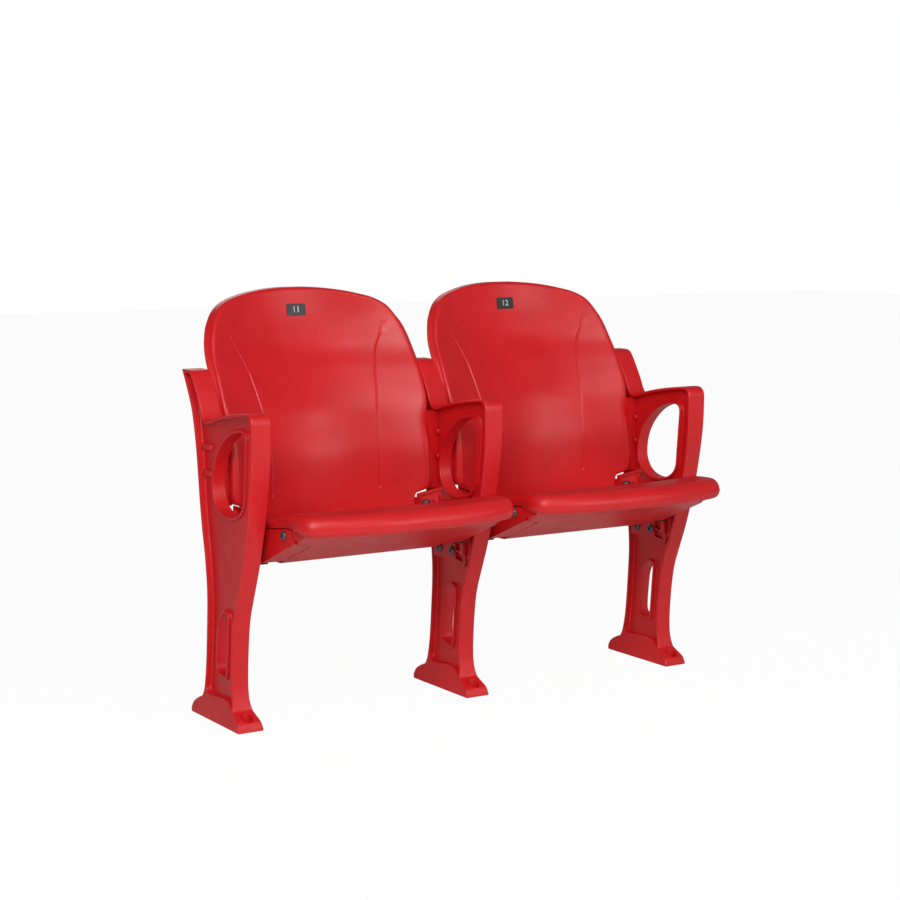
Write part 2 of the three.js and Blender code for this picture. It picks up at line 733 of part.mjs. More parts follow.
// The blow-moulded pan: its dished top and rolled lip, and the keel below that the brackets wrap
function panSolid() {
  const keelLower = keelLowerShares.map(bracketPoint);
  const keelRear = keelLower[keelLower.length - 1].x;
  const skin = dish.filter((point) => point.x < keelRear).reverse();
  const keelTop = skin.map((point) => new THREE.Vector2(point.x, point.y - panSkin / 2));
  const keelHalf = fromStandard(flangeInner + clearance);
  const keel = sideSlab([...keelLower, ...keelTop], -keelHalf, keelHalf);
  const shoulderTop = panRows.slice(...shoulderTopRows).reverse().map(
    (row) => new THREE.Vector2(row.side.y, row.low + keelWeld),
  );
  const shoulders = sideSlab(
    [...shoulderLowerShares.map(bracketPoint), ...shoulderTop],
    -panHalfWidth,
    panHalfWidth,
  );
  const rightCrease = panRows.map((_, row) => panUnderside(row, 1));
  const leftCrease = rightCrease.map((point) => new THREE.Vector2(-point.x, point.y)).reverse();
  const crease = planSlab([...rightCrease, ...leftCrease], 0, standardHeight);
  let pan = joined(panShell(), joined(keel, shoulders).intersect(crease));
  const [bossLow, bossHigh] = topBoltBossShares.map(heightOver);
  const bossPlace = new THREE.Vector3(fromStandard(topBoltX), topBolt.x, 0);
  const boss = rod(axisZ, boltHead, bossPlace, bossLow, bossHigh);
  pan = joined(pan, boss, mirrored(boss));
  const wallRoom = sideSlab(
    inset(bracketOutline(0), -clearance),
    fromStandard(wallInner + clearance),
    panHalfWidth + overrun,
  );
  const wallNear = fromStandard(bracketOffset);
  const flangeSide = flangeBand(flangeSheet + clearance, panRise);
  const flangeRoom = sideSlab(flangeSide, keelHalf, panHalfWidth).intersect(
    planSlab(behindFlangeTip(wallNear, keelHalf, clearance), 0, standardHeight),
  );
  const sideHole = rod(
    axisX,
    boltRadius + clearance,
    acrossAt(sideBolt),
    fromStandard(bracketOffset + sideBoltLength + clearance),
    panHalfWidth,
    boltSides,
  );
  const topHole = rod(
    axisZ,
    boltRadius + clearance,
    bossPlace,
    bossLow - overrun,
    topBolt.y + overrun,
    boltSides,
  );
  const cuts = [wallRoom, flangeRoom, sideHole, topHole];
  return cut(pan, ...cuts, ...cuts.map(mirrored));
}

// The bracket's rear arm, its rib, its post and its bolt seat, in the bracket's shares, and the
// stretches of its level flange that carry the tab over the stop and the rubber pad under both
const armNearShares = [0.018, 0.864];
const armFarShares = [-0.08, 0.636];
const armFootShares = [0.1, 0.3];
const armRibShares = [[0.11, 0.18], [0.009, 0.18], [0.009, 0.79]];
const postShares = [[0, 0], [-0.036, 0], [-0.036, 0.5], [0, 0.5]];
const seatShares = [[0.042, 0.25], [-0.085, 0.25], [-0.085, 0.425], [0.042, 0.425]];
const tabShares = [0.431, 0.318];
const padShares = [0.420, 0.340];
const flangeLow = bracketPoint(bracketLowerShares[1]).y;

// The bracket under each side of a pan, for a hinge on the right of its standard: x is the distance
// from the standard's middle.
function bracketSolid(shell) {
  const wall = sideSlab(bracketOutline(0), bracketOffset, wallInner);
  const flange = sideSlab(flangeBand(flangeSheet, 0), bracketOffset, flangeInner).intersect(
    planSlab(behindFlangeTip(bracketOffset, flangeInner, 0), 0, standardHeight),
  );
  const boss = rod(axisX, bossRadius, acrossAt(pivot), bossStart, bracketOffset);
  const near = bracketPoint(armNearShares);
  const far = bracketPoint(armFarShares);
  const armPlan = [
    new THREE.Vector2(armGap, near.x), new THREE.Vector2(armReach, far.x),
    new THREE.Vector2(armReach, far.x + armThickness), new THREE.Vector2(armGap, near.x + armThickness),
  ];
  const [foot, overPan] = armFootShares.map(heightOver);
  const armFront = [
    new THREE.Vector2(armGap, foot), new THREE.Vector2(wallInner, foot),
    new THREE.Vector2(wallInner, overPan), new THREE.Vector2(armReach, overPan),
    new THREE.Vector2(armReach, far.y), new THREE.Vector2(armGap, near.y),
  ];
  const arm = planSlab(armPlan, 0, standardHeight).intersect(
    frontSlab(armFront, standardFront, standardRear),
  );
  const rib = sideSlab(armRibShares.map(bracketPoint), armGap, armGap + armRib);
  const post = sideSlab(postShares.map(bracketPoint), bracketOffset, wallInner);
  const aheadOfArm = [...armPlan.slice(0, 2), new THREE.Vector2(armReach, standardFront)];
  const seat = sideSlab(seatShares.map(bracketPoint), armReach - seatReach, armReach).intersect(
    planSlab(aheadOfArm, 0, standardHeight),
  );
  const [tabFront, tabRear] = tabShares.map((share) => bracketPoint([share, 0]).x);
  const tab = block(tabNear, bracketOffset, tabFront, tabRear, flangeLow, flangeLow + flangeSheet);
  const body = joined(wall, flange, boss, arm, rib, post, seat, tab);
  const bore = rod(axisX, pivotRadius + clearance, acrossAt(pivot), 0, seatPitch / 2);
  const sideHole = rod(axisX, boltRadius + clearance, acrossAt(sideBolt), 0, flangeInner, boltSides);
  const topHole = rod(
    axisZ,
    boltRadius + clearance,
    new THREE.Vector3(topBoltX, topBolt.x, 0),
    pivot.y,
    standardHeight,
    boltSides,
  );
  const lifted = moved(shell, new THREE.Vector3(seatPitch / 2, 0, clearance));
  return cut(body, bore, sideHole, topHole, lifted);
}

// The bearing block in the standard's channel, with its bore, its ribbed recess and the stop fin
const blockShares = [
  [0.202, -0.514], [0.202, -0.968], [0.284, -1.408], [0.435, -1.302], [0.671, -1.302],
];
const blockNoseShares = [0.332, -0.259];
const recessShares = [
  [0.238, -1.014], [0.293, -1.271], [0.392, -1.226], [0.392, -0.529], [0.238, -0.574],
];
const recessRibShares = [[0.262, -1.127], [0.392, -0.976], [0.392, -0.930], [0.262, -1.082]];
const finShare = 0.272;
const crownTurns = [0, 30, 60, 90, 120, 150, 180].map(THREE.MathUtils.degToRad);

function bearingBlockSolid() {
  const start = webHalf + clearance;
  const crown = crownTurns.map((turn) => bossPoint(turn, blockCrown));
  const outline = [...blockShares.map(blockPoint), ...crown, blockPoint(blockNoseShares)];
  const fitted = sideSlab(channelFit, start, blockFace);
  const body = sideSlab(outline, start, blockFace).intersect(fitted);
  const floor = blockFace - recessDepth;
  const recessOutline = recessShares.map(blockPoint);
  const finY = blockPoint([finShare, 0]).x;
  const finTop = flangeLow - clearance - padThickness - clearance;
  const fin = block(
    floor, finReach, finY - finWidth / 2, finY + finWidth / 2, recessOutline[1].y, finTop,
  );
  const rib = sideSlab(recessRibShares.map(blockPoint), floor, blockFace);
  const recess = sideSlab(recessOutline, floor, blockFace + overrun);
  const boreRadius = pivotRadius + clearance + bushWall + clearance;
  const bore = rod(axisX, boreRadius, acrossAt(pivot), 0, bracketOffset);
  const holes = bearingBolts.map(
    (place) => rod(axisX, boltRadius + clearance, acrossAt(place), 0, bracketOffset, boltSides),
  );
  return joined(cut(body, recess.subtract(rib), bore, ...holes), fin);
}

// A tube along x, from one distance to another
function ring(inner, outer, from, to, centre) {
  const profile = [[inner, from], [outer, from], [outer, to], [inner, to], [inner, from]];
  return turned(axisX, profile, acrossAt(centre), roundSides);
}

function bushSolid() {
  const inner = pivotRadius + clearance;
  const outer = inner + bushWall;
  const shoulder = blockFace + clearance;
  const end = shoulder + bushCollar;
  const start = webHalf + clearance + clearance;
  const collar = outer + bushFlange;
  const profile = [
    [inner, start], [outer, start], [outer, shoulder], [collar, shoulder],
    [collar, end], [inner, end], [inner, start],
  ];
  return turned(axisX, profile, acrossAt(pivot), roundSides);
}

const clipFrom = wallInner + clearance;
const clipTo = clipFrom + clipThickness;

function pinSolid() {
  const neck = pivotRadius - pinGroove;
  const start = webHalf + clearance + clearance;
  const end = clipTo + pinTail;
  const profile = [
    [0, start], [pivotRadius, start], [pivotRadius, clipFrom - clearance],
    [neck, clipFrom - clearance], [neck, clipTo + clearance], [pivotRadius, clipTo + clearance],
    [pivotRadius, end], [0, end],
  ];
  return turned(axisX, profile, acrossAt(pivot), roundSides);
}

function clipSolid() {
  const inner = pivotRadius - pinGroove + clearance;
  const whole = ring(inner, inner + clipWall, clipFrom, clipTo, pivot);
  const mouth = sideSlab(
    [[-1, -1], [1, -1], [1, 0], [-1, 0]].map(
      ([y, z]) => new THREE.Vector2(pivot.x + y * clipMouth, pivot.y + z * bossRadius),
    ),
    clipFrom - overrun,
    clipTo + overrun,
  );
  return whole.subtract(mouth);
}

// The rubber pad under the bracket's flange and tab, which comes down on the fin
function padSolid() {
  const [front, rear] = padShares.map((share) => bracketPoint([share, 0]).x);
  const top = flangeLow - clearance;
  return block(padNear, padFar, front, rear, top - padThickness, top);
}

// A button-headed bolt: its head sits on the place given, and its shank runs along the axis.
const domeShare = 0.6;
function boltSolid(axis, seat, headRadius, length) {
  const brim = boltHeadHeight * (1 - domeShare);
  const profile = [
    [0, -boltHeadHeight], [headRadius * domeShare, -boltHeadHeight], [headRadius, -brim],
    [headRadius, 0], [boltRadius, 0], [boltRadius, length], [0, length],
  ];
  return turned(axis, profile, seat, boltSides);
}

const red = { color: 0xc4161c, roughness: 0.42, metalness: 0 };
const steel = { color: 0x4b4f52, roughness: 0.45, metalness: 0.8 };
const rubber = { color: 0x151515, roughness: 0.8, metalness: 0 };
const black = { color: 0x14161a, roughness: 0.35, metalness: 0 };
const nylon = { color: 0x8f0f14, roughness: 0.5, metalness: 0 };

function mesh(name, geometry, finish) {
  const made = new THREE.Mesh(geometry, new THREE.MeshStandardMaterial(finish));
  made.name = name;
  return made;
}

const stadiumSeat = new THREE.Group();

const places = [
  { name: 'left', x: -seatPitch, sides: [1] },
  { name: 'middle', x: 0, sides: [-1, 1] },
  { name: 'right', x: seatPitch, sides: [-1] },
];
for (const { name, x, sides } of places) {
  const standard = mesh(`standard_${name}`, geometryOf(standardSolid(sides)), red);
  standard.position.x = x;
  stadiumSeat.add(standard);
}

const shell = panShell();
const backrest = geometryOf(backrestSolid());
const pan = geometryOf(panSolid());

// The number plate lies against the backrest, tilted with it
const plateZ = backHeight(plateShare);
const plateEnds = [-plateHeight / 2, plateHeight / 2].map((up) => backFront(0, plateZ + up));
const plateTilt = Math.atan((plateEnds[1] - plateEnds[0]) / plateHeight);
const plateY = (plateEnds[0] + plateEnds[1]) / 2;
const facetSag = backSag * plateWidth / (backHalfWidth * panelColumns);
const plateGap = clearance + plateThickness / 2 + facetSag;

for (const [name, side] of [['left', -1], ['right', 1]]) {
  const seat = new THREE.Group();
  seat.position.x = side * seatPitch / 2;
  const slip = new THREE.BoxGeometry(plateWidth, plateThickness, plateHeight);
  const plate = mesh(`number_plate_${name}`, slip, black);
  plate.position.set(0, plateY - plateGap / Math.cos(plateTilt), plateZ);
  plate.rotation.x = -plateTilt;
  seat.add(mesh(`backrest_${name}`, backrest, red), mesh(`seat_pan_${name}`, pan, red), plate);
  stadiumSeat.add(seat);
}

const inwards = axisX.clone().negate();
const forwards = axisY.clone().negate();
const downwards = axisZ.clone().negate();
const sideSeat = acrossAt(sideBolt, bracketOffset - clearance);
const topSeat = new THREE.Vector3(topBoltX, topBolt.x, topBolt.y + clearance);
const bearingSeats = bearingBolts.map((place) => acrossAt(place, blockFace + clearance));
const backSeats = backBoltShares.map((share) => {
  const z = standardHeight * share;
  return new THREE.Vector3(backBoltX, flangeRear(z) - spotDepth + clearance, z);
});
const hingePieces = [
  ['hinge_bracket', bracketSolid(shell), red],
  ['pivot_pin', pinSolid(), steel],
  ['pivot_clip', clipSolid(), steel],
  ['pivot_bush', bushSolid(), nylon],
  ['bearing_block', bearingBlockSolid(), red],
  ['stop_pad', padSolid(), rubber],
  ['bracket_side_bolt', boltSolid(axisX, sideSeat, boltHead, sideBoltLength), steel],
  ['bracket_top_bolt', boltSolid(downwards, topSeat, boltHead, topBoltLength), steel],
  ['bearing_bolt_front', boltSolid(inwards, bearingSeats[0], boltHead, bearingBoltLength), steel],
  ['bearing_bolt_rear', boltSolid(inwards, bearingSeats[1], boltHead, bearingBoltLength), steel],
  ['back_bolt_lower', boltSolid(forwards, backSeats[0], backBoltHead, backBoltLength), steel],
  ['back_bolt_upper', boltSolid(forwards, backSeats[1], backBoltHead, backBoltLength), steel],
].map(([name, solid, finish]) => [name, geometryOf(solid), finish]);

const hinges = [
  { name: 'left_outer', x: -seatPitch, side: 1 },
  { name: 'left_inner', x: 0, side: -1 },
  { name: 'right_inner', x: 0, side: 1 },
  { name: 'right_outer', x: seatPitch, side: -1 },
];
for (const { name, x, side } of hinges) {
  const hinge = new THREE.Group();
  hinge.position.x = x;
  hinge.scale.x = side;
  for (const [piece, geometry, finish] of hingePieces) {
    hinge.add(mesh(`${piece}_${name}`, geometry, finish));
  }
  stadiumSeat.add(hinge);
}

export default stadiumSeat;
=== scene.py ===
import math

import bmesh
import bpy
from mathutils import Matrix, Vector
from mathutils.geometry import interpolate_bezier, intersect_point_line


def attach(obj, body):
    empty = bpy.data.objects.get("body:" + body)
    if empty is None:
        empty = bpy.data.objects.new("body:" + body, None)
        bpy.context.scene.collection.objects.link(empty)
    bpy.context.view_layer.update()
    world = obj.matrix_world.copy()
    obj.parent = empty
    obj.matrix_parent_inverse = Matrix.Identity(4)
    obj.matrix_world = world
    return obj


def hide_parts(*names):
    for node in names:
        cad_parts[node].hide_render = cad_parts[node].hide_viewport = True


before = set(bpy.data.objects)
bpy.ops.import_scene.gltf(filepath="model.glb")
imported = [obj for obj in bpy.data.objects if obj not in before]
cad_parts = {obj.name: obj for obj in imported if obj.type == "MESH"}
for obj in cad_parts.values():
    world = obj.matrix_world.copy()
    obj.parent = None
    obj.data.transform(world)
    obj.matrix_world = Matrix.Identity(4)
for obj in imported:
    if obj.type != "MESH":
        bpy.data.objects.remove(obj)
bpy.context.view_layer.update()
scene = bpy.context.scene

# Three floor standards carry the row, half a metre apart. Each is one moulding in red polypropylene:
# a thin web with a flange all round it, an armrest on top, and a solid foot bolted down at its two
# ends. The skin is satin with a fine grain. Its outline is in millimetres, back and up.

sole = [(-102.5, 0.0), (100.5, 0.0)]
rear_heel = [(100.5, 0.0), (102.4, 11.0), (98.0, 20.5), (88.5, 27.6), (76.0, 33.8), (66.5, 37.2)]
rear_edge = [(66.5, 37.2), (63.0, 48.1), (54.0, 89.0), (46.5, 168.0), (43.1, 237.0), (48.4, 302.0),
             (58.6, 358.0), (66.5, 415.0), (73.5, 490.0), (79.5, 534.0), (91.0, 583.0), (109.4, 620.0),
             (131.8, 658.6)]
upright_front = [(131.8, 658.6), (111.5, 658.3), (98.6, 657.2), (89.6, 651.5), (72.9, 628.0),
                 (56.6, 601.0), (44.0, 577.0), (36.5, 568.6), (28.0, 567.4)]
armrest_top = [(28.0, 567.4), (9.6, 572.0), (-33.4, 581.9), (-75.1, 589.1), (-116.0, 594.4),
               (-139.0, 596.3), (-149.5, 594.4), (-156.6, 588.4), (-159.4, 577.0)]
front_edge = [(-159.4, 577.0), (-156.9, 514.7), (-149.6, 460.0), (-134.4, 386.2), (-111.9, 309.1),
              (-89.1, 249.8), (-73.6, 208.9), (-65.5, 165.0), (-60.5, 112.0), (-60.0, 73.1),
              (-65.2, 46.0), (-68.5, 33.6)]
front_heel = [(-68.5, 33.6), (-80.0, 27.0), (-90.5, 21.6), (-96.6, 17.2), (-99.4, 11.5), (-102.5, 0.0)]
foot_arch = [(-62.6, 32.5), (-58.0, 38.0), (-49.0, 44.4), (-37.0, 48.6), (-22.5, 50.0), (-3.0, 49.2),
             (15.5, 47.4), (34.0, 46.4), (45.0, 47.8), (52.0, 53.5)]
arm_hole = [(-117.5, 545.0), (-115.0, 552.0), (-106.5, 556.8), (-88.0, 556.6), (-62.0, 550.5),
            (-36.0, 538.5), (-9.0, 515.5), (9.5, 489.5), (18.2, 463.0), (18.6, 437.0), (9.5, 417.5),
            (-6.0, 404.5), (-27.5, 397.6), (-52.5, 396.4), (-79.0, 402.4), (-97.0, 413.0),
            (-106.8, 428.0), (-110.2, 460.0), (-114.2, 505.0)]
slot = [(-35.5, 203.0), (-33.0, 174.0), (-30.6, 144.0), (-26.0, 96.0), (-23.2, 90.4), (-18.0, 90.4),
        (1.5, 94.3), (8.2, 98.4), (11.5, 105.5), (11.6, 120.0), (9.8, 141.0), (5.5, 175.0),
        (1.5, 189.0), (-5.0, 200.0), (-13.5, 208.0), (-24.5, 213.0), (-31.5, 211.0)]
half_widths = [(0.0, 26.75), (4.0, 26.75), (50.0, 17.5), (250.0, 17.5), (330.0, 18.1), (442.0, 19.3),
               (570.0, 21.0), (660.0, 21.0)]
web_half = 6.0
flange_wall = 6.0
edge_radius = [(540.0, 2.6), (585.0, 4.4)]
armrest_rear = 28.0
arch_front, arch_rear = 43.0, 60.0
pocket_round, pocket_draft, pocket_fillet = 1.4, 0.8, 3.0
collar_half, collar_rim, collar_round = 13.5, 5.4, 1.4
collar_foot, collar_fillet = 8.0, 2.2
rib_heights = (467.2, 517.0)
rib_half, rib_reach, rib_front, rib_rear = 6.0, 13.0, 28.5, 70.0
foot_holes = (-85.3, 86.1)
foot_bore, foot_counterbore, foot_seat = 6.0, 11.75, 9.7


def on_line(table, along):
    """The value of a table of pairs at a place along it."""
    for (first, low), (second, high) in zip(table, table[1:]):
        if along <= second:
            share = max(0.0, (along - first) / (second - first))
            return low + (high - low) * share
    return table[-1][1]


def soft_line(points, step, closed=False):
    """A curve through the points, with a new point about every step."""
    knots = [Vector(point) for point in points]
    if closed:
        ring = [knots[-1], *knots, knots[0], knots[1]]
    else:
        ring = [2 * knots[0] - knots[1], *knots, 2 * knots[-1] - knots[-2]]
    line = []
    for before, first, second, after in zip(ring, ring[1:], ring[2:], ring[3:]):
        reach = (second - first).length
        leave = (second - before) * reach / ((first - before).length + reach)
        arrive = (after - first) * reach / ((after - second).length + reach)
        count = max(1, round(reach / step))
        line += interpolate_bezier(first, first + leave / 3, second - arrive / 3, second, count + 1)[:-1]
    return line if closed else line + [knots[-1]]


def joined_lines(stretches, step, ease):
    """A closed outline of soft stretches, with each corner between two of them eased."""
    lines = [soft_line(stretch, step) for stretch in stretches]
    outline = []
    for line, following in zip(lines, lines[1:] + lines[:1]):
        corner = line[-1]
        enter = corner.lerp(line[-2], min(0.45, ease / (corner - line[-2]).length))
        leave = corner.lerp(following[1], min(0.45, ease / (corner - following[1]).length))
        handles = (corner.lerp(enter, 0.4), corner.lerp(leave, 0.4))
        outline += line[1:-1] + interpolate_bezier(enter, *handles, leave, 4)
    return outline


def inset(points, distance):
    """A closed outline moved inwards, or outwards for a negative distance."""
    around = list(zip(points[-1:] + points[:-1], points, points[1:] + points[:1]))
    area = sum(first.x * second.y - second.x * first.y for first, second, _ in around)
    moved = []
    for before, point, after in around:
        along = ((point - before).normalized() + (after - point).normalized()).normalized()
        square = Vector((-along.y, along.x)) * math.copysign(1.0, area)
        moved.append(point + square * distance)
    return moved


def in_metres(x, y, z):
    return Vector((x, y, z)) * 0.001


def numbering(bm):
    """The layer in which vertices keep their number along a loop or across a sheet."""
    return bm.verts.layers.int.get("number") or bm.verts.layers.int.new("number")


def edge_loop(bm, places):
    """A closed loop of edges, whose vertices know their number along it."""
    number = numbering(bm)
    verts = [bm.verts.new(place) for place in places]
    for i, vert in enumerate(verts):
        vert[number] = i
    return [bm.edges.new(pair) for pair in zip(verts, verts[1:] + verts[:1])]


def grown(bm, edges, place):
    """Extrudes a loop of edges, and puts each new vertex in the place for its number."""
    made = bmesh.ops.extrude_edge_only(bm, edges=edges)["geom"]
    verts = {part for part in made if isinstance(part, bmesh.types.BMVert)}
    number = numbering(bm)
    for vert in verts:
        vert.co = place(vert[number])
    return [part for part in made if isinstance(part, bmesh.types.BMEdge) and set(part.verts) <= verts]


def ridge(bm, edges, outline, steps):
    """Grows a loop of edges through steps. Each gives how far in it lies, and its x at a height."""
    for distance, x in steps:
        ring = inset(outline, distance)
        edges = grown(bm, edges, lambda i: in_metres(x(ring[i].y), ring[i].x, ring[i].y))
    return edges


def quarter(radius, count):
    """A rounded edge in steps: how far each lies along the way, and how far across."""
    turns = [math.pi / 2 * i / count for i in range(count + 1)]
    return [(radius * (1 - math.cos(turn)), radius * math.sin(turn)) for turn in turns]


def face_out(bm):
    """Turns all faces of closed meshes outwards."""
    bmesh.ops.recalc_face_normals(bm, faces=bm.faces)
    if bm.calc_volume(signed=True) < 0:
        bmesh.ops.reverse_faces(bm, faces=bm.faces)


def turned(profile, axis, centre, count=32):
    """A turned piece: its profile is pairs of radius and distance along the axis, in millimetres."""
    bm = bmesh.new()
    axis = Vector(axis)
    side = axis.orthogonal().normalized()
    centre = Vector(centre)
    verts = [bm.verts.new((centre + side * radius + axis * along) * 0.001) for radius, along in profile]
    edges = [bm.edges.new(pair) for pair in zip(verts, verts[1:])]
    bmesh.ops.spin(bm, geom=verts + edges, cent=centre * 0.001, axis=axis, angle=math.tau,
                   steps=count, use_merge=True, use_duplicate=False)
    bmesh.ops.remove_doubles(bm, verts=bm.verts, dist=1e-6)
    face_out(bm)
    return bm


def rod(radius, first, last, axis, centre, count):
    """A plain rod between two distances along its axis."""
    return turned([(0, first), (radius, first), (radius, last), (0, last)], axis, centre, count)


def swapped(bm):
    """Turns a mesh into its own mirror image, on the other side of x = 0."""
    bmesh.ops.scale(bm, vec=(-1, 1, 1), verts=bm.verts)
    bmesh.ops.reverse_faces(bm, faces=bm.faces)
    return bm


def combined(first, second, operation):
    """Two closed meshes joined (UNION), or the first cut by the other (DIFFERENCE) or to it (INTERSECT)."""
    pair = []
    for bm in (first, second):
        mesh = bpy.data.meshes.new("part")
        bm.to_mesh(mesh)
        bm.free()
        pair.append(bpy.data.objects.new("part", mesh))
        scene.collection.objects.link(pair[-1])
    change = pair[0].modifiers.new("change", "BOOLEAN")
    change.operation = operation
    change.solver = "MANIFOLD"
    change.object = pair[1]
    result = bmesh.new()
    result.from_object(pair[0], bpy.context.evaluated_depsgraph_get())
    for part in pair:
        bpy.data.meshes.remove(part.data)
    return result


def soften(bm, radius, count=2):
    """Rounds the sharp edges of a mesh."""
    sharp = [edge for edge in bm.edges if edge.is_manifold and edge.calc_face_angle() > math.radians(35)]
    bmesh.ops.bevel(bm, geom=sharp, offset=radius * 0.001, offset_type="OFFSET", affect="EDGES",
                    segments=count, profile=0.5, material=-1, clamp_overlap=True)


def box_of(low, high, radius, count=2):
    """A block with rounded edges between two corners, in millimetres."""
    bm = bmesh.new()
    low, high = Vector(low) * 0.001, Vector(high) * 0.001
    place = Matrix.Translation((low + high) / 2) @ Matrix.Diagonal((*(high - low), 1))
    bmesh.ops.create_cube(bm, size=1.0, matrix=place)
    soften(bm, radius, count)
    return bm


def finished(name, bm, material, body, nodes, x=0.0, mirrored=False):
    """Makes a piece of a mesh, puts it across the row, hangs it on its body and hides the CAD nodes it
    replaces.
    """
    made = swapped(bm.copy()) if mirrored else bm.copy()
    bmesh.ops.translate(made, vec=(x, 0, 0), verts=made.verts)
    mesh = bpy.data.meshes.new(name)
    made.to_mesh(mesh)
    made.free()
    mesh.shade_smooth()
    mesh.set_sharp_from_angle(angle=math.radians(38))
    mesh.materials.append(material)
    piece = bpy.data.objects.new(name, mesh)
    scene.collection.objects.link(piece)
    weighted = piece.modifiers.new("even shading", "WEIGHTED_NORMAL")
    weighted.keep_sharp = True
    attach(piece, body)
    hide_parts(*nodes)


def texture(tree, kind, place, **numbers):
    node = tree.nodes.new(kind)
    tree.links.new(place, node.inputs["Vector"])
    for name, value in numbers.items():
        node.inputs[name].default_value = value
    return node


def ranged(tree, value, low, high):
    """A noise's middle values spread over a range of their own."""
    node = tree.nodes.new("ShaderNodeMapRange")
    tree.links.new(value, node.inputs["Value"])
    for name, number in (("From Min", 0.3), ("From Max", 0.7), ("To Min", low), ("To Max", high)):
        node.inputs[name].default_value = number
    return node.outputs["Result"]


def blended(tree, share, first, second):
    node = tree.nodes.new("ShaderNodeMix")
    node.data_type = "RGBA"
    tree.links.new(share, node.inputs[0])
    node.inputs[6].default_value = (*first, 1)
    node.inputs[7].default_value = (*second, 1)
    return node.outputs[2]


def added(tree, value, factor, base):
    node = tree.nodes.new("ShaderNodeMath")
    node.operation = "MULTIPLY_ADD"
    tree.links.new(value, node.inputs[0])
    node.inputs[1].default_value = factor
    tree.links.new(base, node.inputs[2])
    return node.outputs[0]


def red_plastic(name, gloss, grain, streaks=0.0):
    """gloss is the range of roughness, grain the depth of the skin's texture, and streaks how far
    fine upright flow lines show in it."""
    material = bpy.data.materials.new(name)
    material.use_nodes = True
    tree = material.node_tree
    shader = tree.nodes["Principled BSDF"]
    place = tree.nodes.new("ShaderNodeTexCoord").outputs["Object"]
    cloud = texture(tree, "ShaderNodeTexNoise", place, Scale=9.0, Detail=3.0).outputs["Fac"]
    tree.links.new(blended(tree, ranged(tree, cloud, 0, 1), *reds), shader.inputs["Base Color"])
    patch = texture(tree, "ShaderNodeTexNoise", place, Scale=26.0, Detail=4.0).outputs["Fac"]
    rough = ranged(tree, patch, *gloss)
    height = texture(tree, "ShaderNodeTexNoise", place, Scale=1300.0, Detail=2.0).outputs["Fac"]
    if streaks:
        squeeze = tree.nodes.new("ShaderNodeMapping")
        tree.links.new(place, squeeze.inputs["Vector"])
        squeeze.inputs["Scale"].default_value = (300.0, 10.0, 1.2)
        flow = texture(tree, "ShaderNodeTexNoise", squeeze.outputs["Vector"], Scale=1.0, Detail=1.0)
        height = added(tree, flow.outputs["Fac"], streaks, height)
        rough = added(tree, flow.outputs["Fac"], 0.08, rough)
    tree.links.new(rough, shader.inputs["Roughness"])
    bump = tree.nodes.new("ShaderNodeBump")
    bump.inputs["Strength"].default_value = grain
    bump.inputs["Distance"].default_value = 0.0004
    tree.links.new(height, bump.inputs["Height"])
    tree.links.new(bump.outputs["Normal"], shader.inputs["Normal"])
    shader.inputs["IOR"].default_value = 1.49
    return material


reds = ((0.60, 0.007, 0.010), (0.68, 0.010, 0.014))
red_satin = red_plastic("red_satin", (0.34, 0.44), 0.20)

standard_side = joined_lines(
    [sole, rear_heel, rear_edge, upright_front, armrest_top, front_edge, front_heel], 7.0, 2.5)


def off_outline(point):
    """How far a place lies from the nearest part of the standard's outline."""
    feet = [(intersect_point_line(point, *pair), pair)
            for pair in zip(standard_side, standard_side[1:] + standard_side[:1])]
    return min((point - pair[0].lerp(pair[1], min(1.0, max(0.0, share)))).length
               for (_, share), pair in feet)


within_flange = [point for point in inset(standard_side, flange_wall)
                 if off_outline(point) > flange_wall - 0.3]
channel = [point for point in within_flange if point.y > (arch_front if point.x < 0 else arch_rear)]
start = max(range(len(channel)), key=lambda i: (channel[i] - channel[i - 1]).length)
pocket = channel[start:] + channel[:start] + soft_line(foot_arch, 6.0)


def level(x):
    """The same x at every height."""
    return lambda z: x


def sunk(depth):
    """The x at a height, so far below the standard's side."""
    return lambda z: on_line(half_widths, z) - depth


